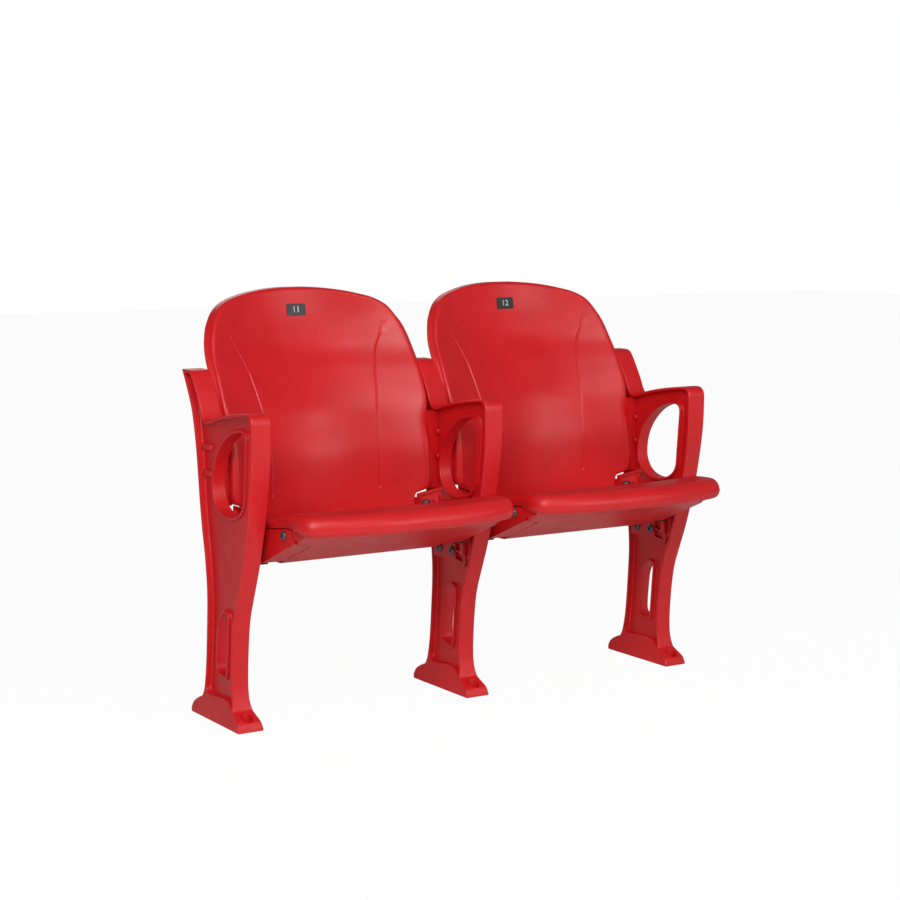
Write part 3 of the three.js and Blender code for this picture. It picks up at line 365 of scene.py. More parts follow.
def standard_mesh():
    bm = bmesh.new()
    width = sunk(0.0)
    outer = edge_loop(bm, [in_metres(0, *point) for point in standard_side])
    radii = [on_line(edge_radius, point.y) if point.x < armrest_rear else edge_radius[0][1]
             for point in standard_side]
    square = [after - before for before, after in zip(standard_side, inset(standard_side, 1.0))]
    for back, out in quarter(1.0, 4):
        ring = [point + side * radius * back for point, side, radius in zip(standard_side, square, radii)]
        outer = grown(bm, outer, lambda i: in_metres(
            width(ring[i].y) - radii[i] * (1 - out), ring[i].x, ring[i].y))
    brim = inset(pocket, -pocket_round)
    lip = edge_loop(bm, [in_metres(width(point.y), *point) for point in brim])
    edge = [(out - pocket_round, sunk(back)) for back, out in quarter(pocket_round, 2)[1:]]
    fillet = [(pocket_draft + back, level(web_half + pocket_fillet - out))
              for back, out in quarter(pocket_fillet, 3)]
    floor = ridge(bm, lip, pocket, edge + fillet)
    bmesh.ops.triangle_fill(bm, edges=outer + lip, use_beauty=True, use_dissolve=False)
    collar_edge = quarter(collar_round, 3)
    for hole in (soft_line(arm_hole, 6.0, closed=True), soft_line(slot, 5.0, closed=True)):
        base = edge_loop(bm, [in_metres(web_half, *point) for point in inset(hole, -collar_foot)])
        foot = [(out - collar_foot, level(web_half + back)) for back, out in quarter(collar_fillet, 3)[1:]]
        crown = [(back - collar_rim, level(collar_half - collar_round + out)) for back, out in collar_edge]
        mouth = [(out - collar_round, level(collar_half - back)) for back, out in collar_edge]
        ridge(bm, base, hole, foot + crown + mouth + [(0.0, level(0.0))])
        floor = floor + base
    bmesh.ops.triangle_fill(bm, edges=floor, use_beauty=True, use_dissolve=False)
    bmesh.ops.mirror(bm, geom=bm.verts[:] + bm.edges[:] + bm.faces[:], axis="X", merge_dist=1e-5)
    bmesh.ops.remove_doubles(bm, verts=bm.verts, dist=1e-6)
    face_out(bm)
    for rib_height in rib_heights:
        rib = box_of((-rib_reach, rib_front, rib_height - rib_half),
                     (rib_reach, rib_rear, rib_height + rib_half), 4.0, 4)
        bm = combined(bm, rib, "UNION")
    bore = [(0, -5), (foot_bore, -5), (foot_bore, foot_seat), (foot_counterbore - 0.45, foot_seat),
            (foot_counterbore, foot_seat + 0.5), (foot_counterbore, 60), (0, 60)]
    for back in foot_holes:
        hole = turned(bore, (0, 0, 1), (0, back, 0), 40)
        bm = combined(bm, hole, "DIFFERENCE")
    return bm


standard = standard_mesh()
for name, x in (("left", -0.5), ("middle", 0.0), ("right", 0.5)):
    finished(f"standard_{name}_moulding", standard, red_satin, "frame",
             [f"standard_{name}"], x)
standard.free()

# Two backrests, blow-moulded in the same red, with air inside. The front is dished for the sitter's
# back and has two fine grooves and faint upright flow lines, the edge rolls round to the rear, and
# a lug at each side lies in the standard's channel, notched for its two ribs.

back_centre = [(320.0, 72.8), (403.0, 73.1), (461.8, 74.4), (490.9, 77.0), (528.7, 85.5),
               (576.3, 99.5), (642.4, 132.2), (686.7, 157.5), (731.0, 172.5), (760.0, 179.5),
               (806.0, 185.4)]
back_side = [(154.7, 334.5), (168.0, 335.7), (179.0, 339.4), (184.6, 347.0), (186.2, 359.0),
             (186.2, 388.0), (186.8, 393.0), (189.6, 397.4), (196.0, 400.0), (204.0, 402.2),
             (210.0, 404.4), (218.0, 408.6), (221.0, 417.0), (221.4, 440.0), (221.0, 488.0), (221.4, 532.0),
             (223.6, 564.0), (225.0, 584.0), (225.2, 628.0), (224.2, 658.0), (221.2, 689.0),
             (215.6, 716.0), (206.0, 741.0), (188.0, 767.5), (162.5, 783.2), (131.0, 792.2),
             (100.0, 798.6), (60.0, 803.7), (24.0, 805.8)]
groove_line = [(400.0, 119.4), (462.0, 119.0), (491.0, 120.0), (529.0, 122.6), (576.0, 128.0),
               (642.0, 138.6), (687.0, 152.4), (712.0, 165.6), (739.0, 183.0)]
groove_low, groove_high, groove_deep, groove_half = 404.0, 738.0, 2.2, 2.5
side_roll = [(400.0, 3.0), (410.0, 20.0), (545.0, 20.0), (595.0, 11.0), (745.0, 11.0), (806.0, 7.0)]
end_roll = 6.0
rim_depth = 28.0
half_back = 221.0
sag_at_side = 61.0
rear_flare = [(405.0, 0.0), (560.0, 6.0), (610.0, 8.5), (735.0, 8.5), (790.0, 3.0), (806.0, 0.0)]
lug_near, lug_far, lug_low, lug_high, lug_front = 214.5, 243.5, 403.4, 559.8, 35.8
panel_border, panel_low, panel_high, panel_deep = 14.0, 352.0, 779.0, 3.0
centre_line = [(point.x, point.y) for point in soft_line(back_centre, 8.0)]
back_edge = soft_line(back_side, 5.0)
groove_offsets = [-5.0, -3.1, -2.4, -1.3, 0.0, 1.3, 2.4, 3.1, 5.0]


def back_front(x, z):
    """How far back the backrest's face lies at a place on it."""
    return on_line(centre_line, z) - sag_at_side * (x / half_back) ** 2


def outward(points, i):
    """Square to a half outline, away from its middle."""
    along = (points[min(i + 1, len(points) - 1)] - points[max(i - 1, 0)]).normalized()
    return Vector((along.y, -along.x))


def panel_sheet(bm, shares, rows, place):
    """A sheet of quads, with a row for each number in rows and a vertex for each share across it."""
    number = numbering(bm)
    made = bmesh.ops.create_grid(bm, x_segments=len(shares) - 1, y_segments=rows - 1, size=1.0)["verts"]
    for i, vert in enumerate(made):
        vert[number] = i
        vert.co = place(*divmod(i, len(shares)))
    return made


def back_columns(row):
    """Places across a row of the backrest, gathered at the two grooves."""
    half, z = back_edge[row]
    roll = on_line(side_roll, z)
    room = max(half - roll, half * 0.6)
    groove = min(on_line(groove_line, z), room * 0.82)
    pinch = min(1.0, room / 60.0)
    inner = [groove * share for share in (0.0, 0.2, 0.4, 0.6, 0.8, 0.92)]
    middle = [groove + offset * pinch for offset in groove_offsets]
    outer = [groove + (room - groove) * share for share in (0.18, 0.4, 0.6, 0.8, 0.92, 1.0)]
    right = inner + middle + outer
    return [-x for x in reversed(right[1:])] + right


column_count = len(back_columns(0))


def groove_depth(x, z):
    """How deep the groove is at a place near it."""
    reach = min(1.0, max(0.0, min(z - groove_low, groove_high - z) / 4.0))
    off = abs(abs(x) - on_line(groove_line, z))
    return groove_deep * reach * max(0.0, 1 - (off / groove_half) ** 2)


def back_face(row, column):
    x, z = back_columns(row)[column], back_edge[row].y
    up = z - end_roll * outward(back_edge, row).y
    return in_metres(x, back_front(x, up) + groove_depth(x, z), up)


def extruded(bm):
    """Gives a flat face a second side, and returns that side's vertices, still in place."""
    made = bmesh.ops.extrude_face_region(bm, geom=bm.faces[:])["geom"]
    return [part for part in made if isinstance(part, bmesh.types.BMVert)]


def lug_mesh():
    notch, notch_floor = rib_half + 0.6, 236.4
    side = [(lug_near, lug_low), (lug_far, lug_low)]
    for rib_height in rib_heights:
        side += [(lug_far, rib_height - notch), (notch_floor, rib_height - notch + 1.5),
                 (notch_floor, rib_height + notch - 1.5), (lug_far, rib_height + notch)]
    side += [(lug_far, lug_high), (lug_near, lug_high)]
    bm = bmesh.new()
    bm.faces.new([bm.verts.new(in_metres(x, lug_front, z)) for x, z in side])
    rear = [(point.y, point.x - flange_wall - 0.4) for point in soft_line(rear_edge, 10.0)]
    for vert in extruded(bm):
        vert.co.y = on_line(rear, vert.co.z * 1000) * 0.001
    face_out(bm)
    soften(bm, 1.2)
    return bm


def backrest_mesh():
    bm = bmesh.new()
    rows = len(back_edge)
    panel_sheet(bm, range(column_count), rows, back_face)
    border = [edge for edge in bm.edges if edge.is_boundary]

    def rim(turn, out):
        """Where each border vertex goes after some of the turn from the face to the rear."""
        def place(i):
            row, column = divmod(i, column_count)
            half, z = back_edge[row]
            face_half = back_columns(row)[-1]
            share = back_columns(row)[column] / face_half
            square = outward(back_edge, row)
            roll = on_line(side_roll, z) if abs(share) > 0.999 else end_roll
            drawn = 1 - math.sin(turn)
            x = share * (half - max(roll * max(square.x, 0.0), half - face_half) * drawn)
            x += math.copysign(out * max(square.x, 0.0), share) * abs(share)
            up = z - end_roll * square.y * drawn
            return x, up, roll * (1 - math.cos(turn))
        return place

    def rolled(turn):
        def place(i):
            x, up, behind = rim(turn, 0.0)(i)
            return in_metres(x, back_front(x, up) + behind, up)
        return place

    for step in range(1, 6):
        border = grown(bm, border, rolled(math.pi / 2 * step / 5))
    for depth, drawn in ((24.0, 0.0), (27.0, 0.9), (rim_depth, 3.0)):
        def place(i):
            row = i // column_count
            spread = on_line(rear_flare, back_edge[row][1]) - drawn
            x, up, _ = rim(math.pi / 2, spread)(i)
            up -= drawn * outward(back_edge, row).y
            return in_metres(x, back_front(x, up) + depth, up)
        border = grown(bm, border, place)
    number = numbering(bm)
    ends = {vert[number]: vert.co.copy() for edge in border for vert in edge.verts}

    def rear_face(row, column):
        index = row * column_count + column
        if index in ends:
            return ends[index]
        half, _, z = ends[(row + 1) * column_count - 1] * 1000
        share = back_columns(row)[column] / back_columns(row)[-1]
        x = half * share
        sunk_in = min(1.0, max(0.0, (1 - abs(share)) * half - panel_border) / 8)
        sunk_in *= min(1.0, max(0.0, (z - panel_low) / 8), max(0.0, (panel_high - z) / 10))
        return in_metres(x, back_front(x, z) + rim_depth - panel_deep * sunk_in, z)

    rear = panel_sheet(bm, range(column_count), rows, rear_face)
    faces = {face for vert in rear for face in vert.link_faces}
    bmesh.ops.reverse_faces(bm, faces=list(faces))
    bmesh.ops.remove_doubles(bm, verts=bm.verts, dist=2e-6)
    face_out(bm)
    for lug in (lug_mesh(), swapped(lug_mesh())):
        bm = combined(bm, lug, "UNION")
    return bm


red_glossy = red_plastic("red_streaked", (0.28, 0.38), 0.16, streaks=0.6)
seats = (("left", -0.25), ("right", 0.25))
backrest = backrest_mesh()
for name, x in seats:
    finished(f"backrest_{name}_moulding", backrest, red_glossy, "frame",
             [f"backrest_{name}"], x)
backrest.free()

# Two seat pans, blow-moulded like the backrests and hollow inside. The top is dished, the lip is
# rolled right round with the mould's parting line along it, and below lies a wedge-shaped keel with
# a rebate at each side, where a bracket is let in.

pan_side = [(24.9, -305.5), (80.0, -303.8), (120.0, -299.4), (160.0, -293.6), (190.0, -286.6),
            (213.0, -278.0), (223.4, -266.0), (227.6, -252.0), (227.0, -232.0), (224.0, -207.6),
            (221.5, -182.6), (219.5, -133.7), (218.2, -82.5), (217.0, -42.4), (215.6, -14.4),
            (213.0, -2.7), (205.0, 8.0), (190.0, 16.6), (170.0, 25.7), (140.0, 37.5), (100.0, 49.6),
            (60.0, 58.0), (24.9, 62.4)]
pan_crest = [(-305.5, 421.5), (-212.0, 421.0), (-182.6, 416.0), (-133.7, 403.2), (-82.5, 389.8),
             (-42.4, 380.0), (-14.4, 373.4), (8.0, 368.0), (37.5, 360.8), (62.4, 356.9)]
pan_parting = [(-305.5, 398.0), (-292.6, 399.4), (-272.4, 401.4), (-247.4, 403.0), (-207.6, 404.6),
               (-182.6, 402.6), (-133.7, 391.4), (-82.5, 383.4), (-42.4, 375.0), (-14.4, 369.6),
               (8.0, 365.0), (37.5, 357.8), (62.4, 353.2)]
pan_lower = [(-305.5, 382.9), (-292.6, 383.0), (-260.6, 384.2), (-230.5, 387.6), (-207.6, 391.4),
             (-182.6, 389.4), (-133.7, 382.4), (-82.5, 375.4), (-42.4, 370.0), (-14.4, 366.0),
             (8.0, 361.8), (37.5, 354.6), (62.4, 350.0)]
crest_drawn_in = [(-305.5, 22.0), (-283.4, 19.0), (-247.4, 16.0), (-207.6, 15.0), (-133.7, 14.0),
                  (-42.4, 11.0), (-2.7, 8.0), (62.4, 8.0)]
lower_drawn_in = [(-305.5, 8.0), (-292.6, 9.0), (-272.4, 12.0), (-247.4, 12.5), (-230.5, 11.5),
                  (-207.6, 9.0), (-182.6, 6.0), (62.4, 3.0)]
dish_middle = [(-266.0, 421.5), (-236.0, 420.0), (-206.2, 416.0), (-182.6, 409.4), (-133.7, 395.4),
               (-82.5, 380.8), (-42.4, 369.6), (-2.7, 361.0), (37.5, 357.0), (62.4, 356.5)]
shoulder_under = [(-305.5, 404.9), (-219.5, 366.9), (-91.5, 312.9), (-18.6, 318.9), (-14.0, 352.0),
                  (62.4, 352.0)]
keel_under = [(-305.5, 404.9), (-219.5, 366.9), (-72.6, 304.9), (-2.6, 304.9), (47.6, 319.9),
              (50.5, 344.0), (62.4, 352.0)]
keel_half = 170.6
dish_power = 2.4
parting_step, parting_ledge = 0.4, 0.8
half_columns, keel_columns = 22, 15

pan_edge = soft_line(pan_side, 6.0)
curves = (pan_crest, pan_parting, pan_lower, crest_drawn_in, lower_drawn_in)
curves = [[(point.x, point.y) for point in soft_line(curve, 6.0)] for curve in curves]
dish_line = [(point.x, point.y) for point in soft_line(dish_middle, 6.0)]
pan_columns = [i / half_columns for i in range(-half_columns, half_columns + 1)]
lip_curve = interpolate_bezier((1.0, 0.0), (0.52, 0.0), (0.0, 0.56), (0.0, 1.0), 11)


def pan_spot(row, share, drawn_in, z):
    """A place on a row of the pan, drawn in square to its outline."""
    square = outward(pan_edge, row)
    half, back = pan_edge[row]
    return share * (half - drawn_in * square.x), back - drawn_in * square.y, z


def pan_values(row):
    """The heights of a row's crest, parting line and lower edge, and how far in the crest and the
    lower edge are drawn."""
    return [on_line(curve, pan_edge[row].y) for curve in curves]


def pan_top(row, share):
    """A place on the dished top."""
    crest, _, _, drawn, _ = pan_values(row)
    x, y, z = pan_spot(row, share, drawn, crest)
    middle = min(on_line(dish_line, max(y, dish_middle[0][0])), z)
    return x, y, middle + (z - middle) * abs(share) ** dish_power


def under_share(row, share):
    """Columns below are gathered at the side of the keel."""
    inner = min(0.86, keel_half / pan_edge[row].x)
    column = abs(share) * half_columns
    if column <= keel_columns:
        return math.copysign(column / keel_columns * inner, share)
    outer = (column - keel_columns - 1) / (half_columns - keel_columns - 1)
    return math.copysign(inner + 0.002 + outer * (0.998 - inner), share)


def pan_mesh():
    bm = bmesh.new()
    rows, count = len(pan_edge), len(pan_columns)
    panel_sheet(bm, pan_columns, rows, lambda row, column: in_metres(*pan_top(row, pan_columns[column])))
    border = [edge for edge in bm.edges if edge.is_boundary]

    def upper(aside, drop):
        def place(i):
            row, column = divmod(i, count)
            crest, parting, _, drawn, _ = pan_values(row)
            z = pan_top(row, pan_columns[column])[2] - (crest - parting) * drop
            drawn_in = parting_ledge + (drawn - parting_ledge) * aside
            return in_metres(*pan_spot(row, pan_columns[column], drawn_in, z))
        return place

    def lower(turn):
        def place(i):
            row, column = divmod(i, count)
            _, parting, low, _, drawn = pan_values(row)
            start = parting - parting_step
            z = start - (start - low) * math.sin(turn)
            return in_metres(*pan_spot(row, pan_columns[column], drawn * (1 - math.cos(turn)), z))
        return place

    def flank(down, aside):
        def place(i):
            row, column = divmod(i, count)
            _, _, low, _, drawn = pan_values(row)
            drop = max(0.0, low - on_line(shoulder_under, pan_edge[row].y))
            drawn += aside * min(7.0, 0.45 * drop)
            return in_metres(*pan_spot(row, pan_columns[column], drawn, low - down * drop))
        return place

    for place in lip_curve[1:]:
        border = grown(bm, border, upper(*place))
    for i in range(7):
        border = grown(bm, border, lower(math.pi / 2 * i / 6))
    for down, aside in ((0.3, 0.0), (0.66, 0.0), (0.82, 0.12), (0.94, 0.4), (1.0, 1.0)):
        border = grown(bm, border, flank(down, aside))
    number = numbering(bm)
    ends = {vert[number]: vert.co.copy() for edge in border for vert in edge.verts}

    def under(row, column):
        index = row * count + column
        if index in ends:
            return ends[index]
        half, y, z = ends[(row + 1) * count - 1] * 1000
        x = half * under_share(row, pan_columns[column])
        under_line = keel_under if abs(x) < keel_half else shoulder_under
        return in_metres(x, y, min(on_line(under_line, y), z))

    panel_sheet(bm, pan_columns, rows, under)
    bmesh.ops.remove_doubles(bm, verts=bm.verts, dist=2e-5)
    face_out(bm)
    return bm


def sheet_of(points, along, thickness):
    """A flat outline of places in millimetres, thickened along a direction."""
    bm = bmesh.new()
    bm.faces.new([bm.verts.new(in_metres(*point)) for point in points])
    bmesh.ops.translate(bm, vec=Vector(along) * thickness * 0.001, verts=extruded(bm))
    face_out(bm)
    return bm


def side_sheet(outline, near, far):
    """An outline in the side view, as thick as the stretch of x given."""
    return sheet_of([(near, *point) for point in outline], (1, 0, 0), far - near)


def round_about(centre, radius, first, last, count):
    """Places round a centre, from one angle to another."""
    turns = [math.radians(first + (last - first) * i / count) for i in range(count + 1)]
    return [(centre[0] + radius * math.cos(turn), centre[1] + radius * math.sin(turn)) for turn in turns]


pivot = Vector((5.48, 351.9))
boss_radius = 22.0
wall_front = [(-202.6, 390.2), (-205.4, 384.4), (-208.0, 378.6), (-210.6, 373.8), (-214.4, 369.4),
              (-219.5, 366.9)]
wall_top = [(-14.4, 365.7), (-42.4, 369.7), (-82.5, 375.1), (-133.7, 382.1), (-182.6, 389.1)]
wall_outline = [Vector(point) for point in [
    *soft_line(wall_front, 3.0), (-91.5, 312.9), (-42.4, 312.9), (-14.5, 324.8),
    *round_about(pivot, boss_radius, -125, 15, 12), *wall_top]]
gap_round = 2.4
room_far, room_near, flange_room, room_low = 240.0, 213.1, 169.2, 306.9


def rebate():
    """The room for a bracket's wall and flange at one side of a pan, a little larger than both."""
    wall = side_sheet(inset(wall_outline, -gap_round), room_near, room_far)
    slope = [(room_far, -223.6, 362.6), (218, -223.6, 362.6), (flange_room, -192.6, 349.5),
             (flange_room, -91.5, room_low), (room_far, -91.5, room_low)]
    base = [(room_far, -91.6, room_low), (flange_room, -91.6, room_low), (flange_room, -40.6, room_low),
            (room_far, -40.6, room_low)]
    for flange in (slope, base):
        wall = combined(wall, sheet_of(flange, (0, 0, 1), 11.4), "UNION")
    return wall


pan = pan_mesh()
for cutter in (rebate(), swapped(rebate())):
    pan = combined(pan, cutter, "DIFFERENCE")
for name, x in seats:
    finished(f"seat_pan_{name}_moulding", pan, red_satin, f"seat_{name}",
             [f"seat_pan_{name}"], x)
pan.free()

# A moulded bracket is let into each side of a pan, fixed by one bolt from the side and one from
# above. It has a flat wall with a curved front, a flange under the keel, a boss for the pivot pin,
# and a ribbed arm under the backrest's cut-out. x is from the standard's middle.

pin_radius = 7.0
running = 0.3
bolt_hole = 3.3
wall_near, wall_far, flange_far = 32.0, 36.5, 79.0
flange_low, tab_near, arm_near, arm_far = 312.9, 21.0, 22.0, 61.5
sheet, arm_low = 5.0, 371.7
side_bolt = (-180.0, 377.2)
top_bolt = (53.0, 7.0, 380.3)
hinges = [("left_outer", -0.5, "seat_left"), ("left_inner", 0.0, "seat_left"),
          ("right_inner", 0.0, "seat_right"), ("right_outer", 0.5, "seat_right")]


def bracket_mesh():
    bm = side_sheet(wall_outline, wall_near, wall_far)
    slope = [(wall_near, -219.5, 366.9), (flange_far, -188.5, 353.8), (flange_far, -91.5, flange_low),
             (wall_near, -91.5, flange_low)]
    base = [(wall_near, -91.6, flange_low), (flange_far, -91.6, flange_low),
            (flange_far, -42.4, flange_low), (wall_near, -42.4, flange_low)]
    tab = [(tab_near, -91.5, flange_low), (wall_far, -91.5, flange_low), (wall_far, -66.1, flange_low),
           (tab_near, -66.1, flange_low)]
    arm = [(arm_near, 1.4, 358.5), (wall_far, 9.6, 358.5), (wall_far, 9.6, arm_low),
           (arm_far, 23.8, arm_low), (arm_far, 23.8, 396.0), (arm_near, 1.4, 409.0)]
    rim = [(arm_near, -4.6, 405.7), (arm_far, 17.8, 392.7), (arm_far, 25.8, 392.7),
           (arm_near, 3.4, 405.7)]
    tip = [(17.8, arm_low), (17.8, 396.0), (26.0, 396.0), (28.0, 388.0), (36.0, 388.0), (36.0, arm_low)]
    bolt_seat = [(40, -4, 368.4), (61, -4, 368.4), (61, 24.5, 368.4), (40, 12.6, 368.4)]
    boss = turned([(0, 18.9), (boss_radius - 1, 18.9), (boss_radius, 19.9), (boss_radius, 33), (0, 33)],
                  (1, 0, 0), (0, *pivot), 48)
    for part in (sheet_of(slope, (0, 0, 1), sheet), sheet_of(base, (0, 0, 1), sheet), boss,
                 sheet_of(arm, (0, 1, 0), sheet), sheet_of(bolt_seat, (0, 0, 1), 11.5),
                 sheet_of(tab, (0, 0, 1), sheet), sheet_of(rim, (0, 0, 1), 3.5),
                 side_sheet(tip, arm_far - 2.5, arm_far),
                 side_sheet([(-19.3, 363.8), (5.0, 363.8), (5.0, 404.0)], arm_near, arm_near + 4),
                 side_sheet([(5.48, 351.9), (13.6, 351.9), (13.6, 384.9), (5.48, 384.9)],
                            wall_near, wall_far)):
        bm = combined(bm, part, "UNION")
    bmesh.ops.dissolve_limit(bm, angle_limit=math.radians(1), verts=bm.verts, edges=bm.edges,
                             use_dissolve_boundaries=False, delimit=set())
    soften(bm, 0.9)
    bore = rod(pin_radius + running, 0, 80, (1, 0, 0), (0, *pivot), 40)
    side_hole = rod(bolt_hole, 20, 80, (1, 0, 0), (0, *side_bolt), 20)
    top_hole = rod(bolt_hole, -40, 20, (0, 0, 1), top_bolt, 20)
    for hole in (bore, side_hole, top_hole):
        bm = combined(bm, hole, "DIFFERENCE")
    return bm


def at_hinges(bm, label, ending, material, turning=False):
    """Puts a hinge's piece at all four hinges, mirrored on the left sides of the standards."""
    for i, (hinge, x, seat) in enumerate(hinges):
        body = seat if turning else "frame"
        finished(f"{label}_{hinge}_{ending}", bm, material, body, [f"{label}_{hinge}"], x,
                 mirrored=bool(i % 2))
    bm.free()


at_hinges(bracket_mesh(), "hinge_bracket", "moulding", red_satin, turning=True)

# A bearing block lies in each channel that faces a seat, held by two bolts. It carries the bush
# that the pin turns in, and a round-nosed upright fin. The rubber pad under the bracket comes down
# on the fin when the seat is lowered.

block_outline = [(-100.5, 318.0), (-100.5, 288.0), (-76.6, 259.0), (-32.5, 266.0), (36.4, 266.0)]
block_near, block_far, recess_floor = 6.3, 17.0, 10.0
bearing_bolts = [(-33.9, 286.4), (12.5, 285.7)]
recess_outline = [(-90.0, 285.0), (-73.9, 268.0), (-45.0, 271.0), (-45.0, 317.0), (-90.0, 314.0)]
recess_rib = [(-83.0, 277.5), (-45.0, 287.5), (-45.0, 290.5), (-83.0, 280.5)]
fin_at, fin_half, fin_nose = -80.1, 4.5, 23.5
fin_root, fin_low, fin_top = 267.0, 284.0, 309.3
bush_hole = 10.3


def block_mesh():
    crown = round_about(pivot, 31.0, 0, 180, 24)
    fitted = [tuple(point) for point in inset(standard_side, flange_wall + running)]
    outline = block_outline + crown + [(-62.6, 334.8)]
    bm = combined(side_sheet(outline, block_near, block_far), side_sheet(fitted, 0.0, 30.0), "INTERSECT")
    bmesh.ops.dissolve_limit(bm, angle_limit=math.radians(1), verts=bm.verts, edges=bm.edges,
                             use_dissolve_boundaries=False, delimit=set())
    soften(bm, 0.8)
    bm = combined(bm, side_sheet(recess_outline, recess_floor, 30.0), "DIFFERENCE")
    bm = combined(bm, side_sheet(recess_rib, recess_floor - 1, block_far - 0.4), "UNION")
    near, front, rear = recess_floor - 1, fin_at - fin_half, fin_at + fin_half
    root = box_of((near, front, fin_root), (19, rear, fin_top), 0.01, 1)
    fin = box_of((near, front, fin_low), (fin_nose, rear, fin_top), 0.01, 1)
    nose = turned([(0, fin_low), (fin_half, fin_low), (fin_half, fin_top - 0.8), (fin_half - 0.8, fin_top),
                   (0, fin_top)], (0, 0, 1), (fin_nose, fin_at, 0))
    for part in (root, fin, nose):
        bm = combined(bm, part, "UNION")
    holes = [rod(bush_hole, 0, 30, (1, 0, 0), (0, *pivot), 40)]
    holes += [rod(bolt_hole, 0, 30, (1, 0, 0), (0, *place), 20) for place in bearing_bolts]
    for hole in holes:
        bm = combined(bm, hole, "DIFFERENCE")
    return bm


at_hinges(block_mesh(), "bearing_block", "moulding", red_satin)


def plain_finish(name, tint, rough, metal=0.0, depth=0.0001):
    """A fine, slightly uneven finish between two colours."""
    material = bpy.data.materials.new(name)
    material.use_nodes = True
    tree = material.node_tree
    shader = tree.nodes["Principled BSDF"]
    shader.inputs["Metallic"].default_value = metal
    place = tree.nodes.new("ShaderNodeTexCoord").outputs["Object"]
    cloud = texture(tree, "ShaderNodeTexNoise", place, Scale=140.0, Detail=4.0).outputs["Fac"]
    tree.links.new(blended(tree, ranged(tree, cloud, 0, 1), *tint), shader.inputs["Base Color"])
    tree.links.new(ranged(tree, cloud, *rough), shader.inputs["Roughness"])
    grain = texture(tree, "ShaderNodeTexNoise", place, Scale=600.0, Detail=2.0).outputs["Fac"]
    bump = tree.nodes.new("ShaderNodeBump")
    bump.inputs["Distance"].default_value = depth
    bump.inputs["Strength"].default_value = 0.5
    tree.links.new(grain, bump.inputs["Height"])
    tree.links.new(bump.outputs["Normal"], shader.inputs["Normal"])
    return material


rubber = plain_finish("rubber", ((0.010, 0.010, 0.010), (0.022, 0.022, 0.022)), (0.60, 0.85),
                      depth=0.0004)
nylon = plain_finish("nylon", ((0.30, 0.008, 0.012), (0.36, 0.012, 0.016)), (0.42, 0.55))
steel = plain_finish("steel", ((0.10, 0.11, 0.12), (0.17, 0.18, 0.19)), (0.30, 0.50), metal=0.85)

stop_pad = box_of((22, -89.0, fin_top + running), (46, -71.0, flange_low - running), 0.6)
at_hinges(stop_pad, "stop_pad", "block", rubber, turning=True)

bush_inner, bush_from, bush_to = pin_radius + running, 6.6, 18.6
bush = turned([(bush_inner, bush_from), (10, bush_from), (10, 17.3), (12.6, 17.3), (13, 17.7), (13, 18.3),
               (12.7, bush_to), (bush_inner, bush_to), (bush_inner, bush_from)],
              (1, 0, 0), (0, *pivot), 40)
at_hinges(bush, "pivot_bush", "sleeve", nylon)

# The pivot pins are turned steel, with a groove near the end for a spring clip. All bolts are
# button-headed, with a hexagon socket and a dark zinc coat.

pin_start, groove_from, groove_to, pin_end = 6.6, 36.5, 38.7, 40.9
pin_neck = pin_radius - 1.0
pin = turned([(0, pin_start), (pin_radius - 0.6, pin_start), (pin_radius, pin_start + 0.6),
              (pin_radius, groove_from), (pin_neck, groove_from), (pin_neck, groove_to),
              (pin_radius, groove_to), (pin_radius, pin_end - 0.8), (pin_radius - 0.8, pin_end),
              (0, pin_end)], (1, 0, 0), (0, *pivot), 40)
at_hinges(pin, "pivot_pin", "rod", steel, turning=True)


def clip_mesh():
    opening = -90
    inner = round_about(pivot, pin_neck + running, opening + 52, opening + 308, 32)
    outer = round_about(pivot, 9.0, opening + 308, opening + 36, 36)
    bm = side_sheet(inner + outer, groove_from + running, groove_to - running)
    soften(bm, 0.2)
    return bm


at_hinges(clip_mesh(), "pivot_clip", "ring", steel, turning=True)


shank_radius, large_head, small_head = 3.0, 9.0, 6.0


def bolt_mesh(seat, axis, head, length, height=5.0):
    """A button-headed bolt: its head sits on the place given, and its shank runs along the axis."""
    turns = [math.radians(34 + 56 * i / 6) for i in range(7)]
    dome = [(head * math.sin(turn), -height * math.cos(turn) - 0.4) for turn in turns]
    lift = height + 0.4 + dome[0][1] - 0.2
    dome = [(radius, max(along - lift, -height)) for radius, along in [(0, dome[0][1]), *dome]]
    shank = [(shank_radius, 0), (shank_radius, length - 0.8), (shank_radius - 0.8, length), (0, length)]
    bm = turned([*dome, (head, -0.2), (head - 0.3, 0), *shank], axis, seat, 36)
    socket = turned([(0, -height - 1), (head * 0.36, -height - 1), (head * 0.36, -height * 0.45),
                     (0, -height * 0.4)], axis, seat, 6)
    return combined(bm, socket, "DIFFERENCE")


to_seat, to_standard, down, forward = (1, 0, 0), (-1, 0, 0), (0, 0, -1), (0, -1, 0)
side_screw = bolt_mesh((wall_near - running, *side_bolt), to_seat, large_head, 26)
at_hinges(side_screw, "bracket_side_bolt", "screw", steel, turning=True)
top_screw = bolt_mesh(top_bolt, down, large_head, 30)
at_hinges(top_screw, "bracket_top_bolt", "screw", steel, turning=True)
for label, place in zip(("front", "rear"), bearing_bolts):
    screw = bolt_mesh((block_far + running, *place), to_standard, large_head, 10.8)
    at_hinges(screw, f"bearing_bolt_{label}", "screw", steel)
for label, height, rear in (("lower", 434.9, 68.5), ("upper", 492.3, 72.9)):
    screw = bolt_mesh((13.3, rear, height), forward, small_head, 22, 4.6)
    at_hinges(screw, f"back_bolt_{label}", "screw", steel)

# A small black plastic plate is stuck near the top of each backrest, with rounded corners and a
# plain seat number printed on it in white.

